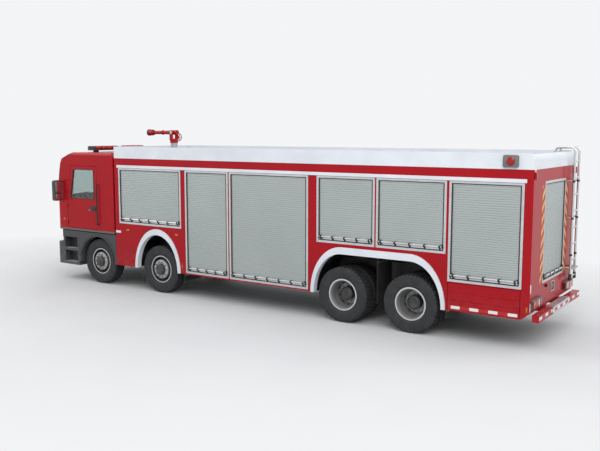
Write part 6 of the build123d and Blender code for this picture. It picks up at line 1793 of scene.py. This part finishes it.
class TRUCK_OT_lamps(bpy.types.Operator):
    """Lamp housings and lenses all round"""

    bl_idname = "truck.lamps"
    bl_label = "Lamps"

    def execute(self, context):
        source = NODES["lamps"].data
        housings = Shape()
        housings.add(source, lambda low, high: not (1.33 < low[2] < 1.4) and low[0] < 5 and not low[2] > 2.7)
        lenses = {name: Shape() for name in ("dark_lens", "amber_lens", "lamp_lens", "white_lens")}
        boxes = solids("lamps")
        for low, high in boxes:
            sign = 1 if low[1] > 0 else -1
            if low[0] < REAR_X and high[2] < 1.0:
                inner, outer = sorted((abs(low[1]), abs(high[1])))
                place = outer - 0.012
                wide = outer - inner - 0.024
                heights = (low[2] + 0.008, high[2] - 0.022)
                back = rear(low[0] + 0.014)
                for share, name in TAIL_LENSES:
                    after = place - wide * share
                    along = (sign * place, sign * (after + 0.002))
                    back.bar(lenses[name], along, (-0.004, 0.010), heights, 0.005)
                    place = after
            elif low[0] < REAR_X:
                lenses["lamp_lens"].block(low, high, 0.008)
            elif low[2] > 2.9:
                middle = (low + high) / 2
                housings.add(source, lambda a, b, low=low: (a - low).length < 1e-3)
                lenses["lamp_lens"].spin(
                    ((0.0, 0.0), (0.072, 0.0), (0.070, 0.010), (0.055, 0.019), (0.03, 0.024), (0.0, 0.0255)),
                    (middle[0], high[1] if sign > 0 else low[1], middle[2]), 1, 36, False, sign,
                )
            elif 1.33 < low[2] < 1.4:
                lenses["amber_lens"].block(low, high, 0.006)
            elif low[0] > 5:
                housings.add(source, lambda a, b, low=low: (a - low).length < 1e-3)
                first = (high[0] - 0.004, low[1] + 0.014, low[2] + 0.014)
                second = (high[0] + 0.006, high[1] - 0.014, high[2] - 0.014)
                lenses["white_lens"].block(first, second, 0.005)
        housings.piece("lamp_housings", "lamp_grey", "chassis", ("lamps",))
        for name, shape in lenses.items():
            shape.piece(f"lenses_{name}", name)
        return {"FINISHED"}


CAMERA_AZIMUTH = 214.0
CAMERA_ELEVATION = 7.0
CAMERA_DISTANCE = 16.3
CAMERA_TARGET = (-0.45, 0.0, 1.60)
BACKGROUND = (0.90, 0.91, 0.92)
SKY = (0.93, 0.96, 1.0, 1.0)


def mixed_shader(tree, share, *shaders):
    """Two shaders mixed by a share."""
    node = tree.nodes.new("ShaderNodeMixShader")
    for place, value in enumerate((share, *shaders)):
        tree.links.new(value.socket, node.inputs[place])
    return Value(tree, node.outputs[0])


class TRUCK_OT_stage(bpy.types.Operator):
    """Floor, backdrop, lights and camera"""

    bl_idname = "truck.stage"
    bl_label = "Stage"

    def execute(self, context):
        floor = bpy.data.meshes.new("floor")
        reach = 60.0
        floor.from_pydata([(x, y, 0) for y, x in corners(-reach, reach, -reach, reach)], [], [(0, 1, 2, 3)])
        ground = bpy.data.objects.new("floor", floor)
        context.scene.collection.objects.link(ground)
        floor.materials.append(stage_finish())
        world = bpy.data.worlds.new("studio")
        context.scene.world = world
        world.use_nodes = True
        tree = world.node_tree
        tree.nodes.clear()
        lighting = add_node(tree, "ShaderNodeBackground", None, 0, {"Color": SKY, "Strength": 0.43})
        seen = add_node(tree, "ShaderNodeBackground", None, 0, {"Color": (*BACKGROUND, 1.0), "Strength": 1.0})
        rays = tree.nodes.new("ShaderNodeLightPath")
        # the plain background for what is seen, and a share of it in the light
        shown = 0.5
        for kind in ("Is Camera Ray", "Is Glossy Ray", "Is Transmission Ray"):
            shown = Value(tree, rays.outputs[kind]) | shown
        output = tree.nodes.new("ShaderNodeOutputWorld")
        tree.links.new(mixed_shader(tree, shown, lighting, seen).socket, output.inputs[0])
        for name, place, size, power in (
            ("key", (-9.0, 10.0, 11.0), 9.0, 960.0),
            ("fill", (-13.0, -7.0, 8.0), 9.0, 450.0),
            ("front", (12.0, 5.0, 9.0), 9.0, 480.0),
            ("top", (0.0, 0.0, 13.0), 12.0, 420.0),
        ):
            light = bpy.data.lights.new(name, "AREA")
            light.size = size
            light.energy = power
            lamp = bpy.data.objects.new(name, light)
            lamp.location = place
            lamp.rotation_euler = (Vector((0, 0, 1.5)) - Vector(place)).to_track_quat("-Z", "Y").to_euler()
            context.scene.collection.objects.link(lamp)
        lens_data = bpy.data.cameras.new("camera")
        lens_data.lens = 46.0
        camera = bpy.data.objects.new("camera", lens_data)
        angle = math.radians(CAMERA_AZIMUTH)
        rise = math.radians(CAMERA_ELEVATION)
        way = Vector((
            math.sin(angle) * math.cos(rise), -math.cos(angle) * math.cos(rise), math.sin(rise)
        ))
        camera.location = Vector(CAMERA_TARGET) + way * CAMERA_DISTANCE
        camera.rotation_euler = (-way).to_track_quat("-Z", "Y").to_euler()
        context.scene.collection.objects.link(camera)
        context.scene.camera = camera
        context.scene.view_settings.view_transform = "Standard"
        return {"FINISHED"}


def stage_finish():
    """Pale floor with the truck's soft shadow on it, which turns into the background far away."""
    finish = Finish("Stage floor", (0.72, 0.73, 0.74), roughness=0.8)
    tone = finish.mix(finish.ramp(finish.noise(0.6), 0.3, 0.7), (0.62, 0.63, 0.64), (0.65, 0.66, 0.67))
    finish.feed("Base Color", tone)
    x, y = finish.axes()[:2]
    distance = (x ** 2.0 * 0.42 + y ** 2.0) ** 0.5
    far = finish.node("ShaderNodeEmission", Color=(*BACKGROUND, 1.0))
    near = Value(finish.tree, finish.shader.outputs[0])
    mixed = mixed_shader(finish.tree, finish.ramp(distance, 4.0, 9.0), near, far)
    finish.tree.links.new(mixed.socket, finish.output.inputs[0])
    return finish.material


class TRUCK_PT_panel(bpy.types.Panel):
    """Lists the truck's sizes, colours and makers"""

    bl_idname = "TRUCK_PT_panel"
    bl_label = "Fire Truck"
    bl_space_type = "VIEW_3D"
    bl_region_type = "UI"
    bl_category = "Fire Truck"

    def draw(self, context):
        for group in (context.scene.truck_sizes, context.scene.truck_colours):
            for name in group.__annotations__:
                self.layout.prop(group, name)
        for maker in MAKERS:
            self.layout.operator(maker.bl_idname)


MAKERS = (
    TRUCK_OT_stage,
    TRUCK_OT_finishes,
    TRUCK_OT_tyres,
    TRUCK_OT_wheel_fittings,
    TRUCK_OT_shutters,
    TRUCK_OT_markings,
    TRUCK_OT_lamps,
    TRUCK_OT_tail,
    TRUCK_OT_cab_outside,
    TRUCK_OT_seats,
    TRUCK_OT_dash,
    TRUCK_OT_roof,
    TRUCK_OT_underside,
    TRUCK_OT_body_trim,
)
CLASSES = (TruckSizes, TruckColours) + MAKERS + (TRUCK_PT_panel,)


def register():
    for kind in CLASSES:
        bpy.utils.register_class(kind)
    bpy.types.Scene.truck_sizes = bpy.props.PointerProperty(type=TruckSizes)
    bpy.types.Scene.truck_colours = bpy.props.PointerProperty(type=TruckColours)


def unregister():
    del bpy.types.Scene.truck_sizes
    del bpy.types.Scene.truck_colours
    for kind in reversed(CLASSES):
        bpy.utils.unregister_class(kind)


def main():
    register()
    for maker in MAKERS:
        group, name = maker.bl_idname.split(".")
        getattr(getattr(bpy.ops, group), name)()


if __name__ == "__main__":
    main()
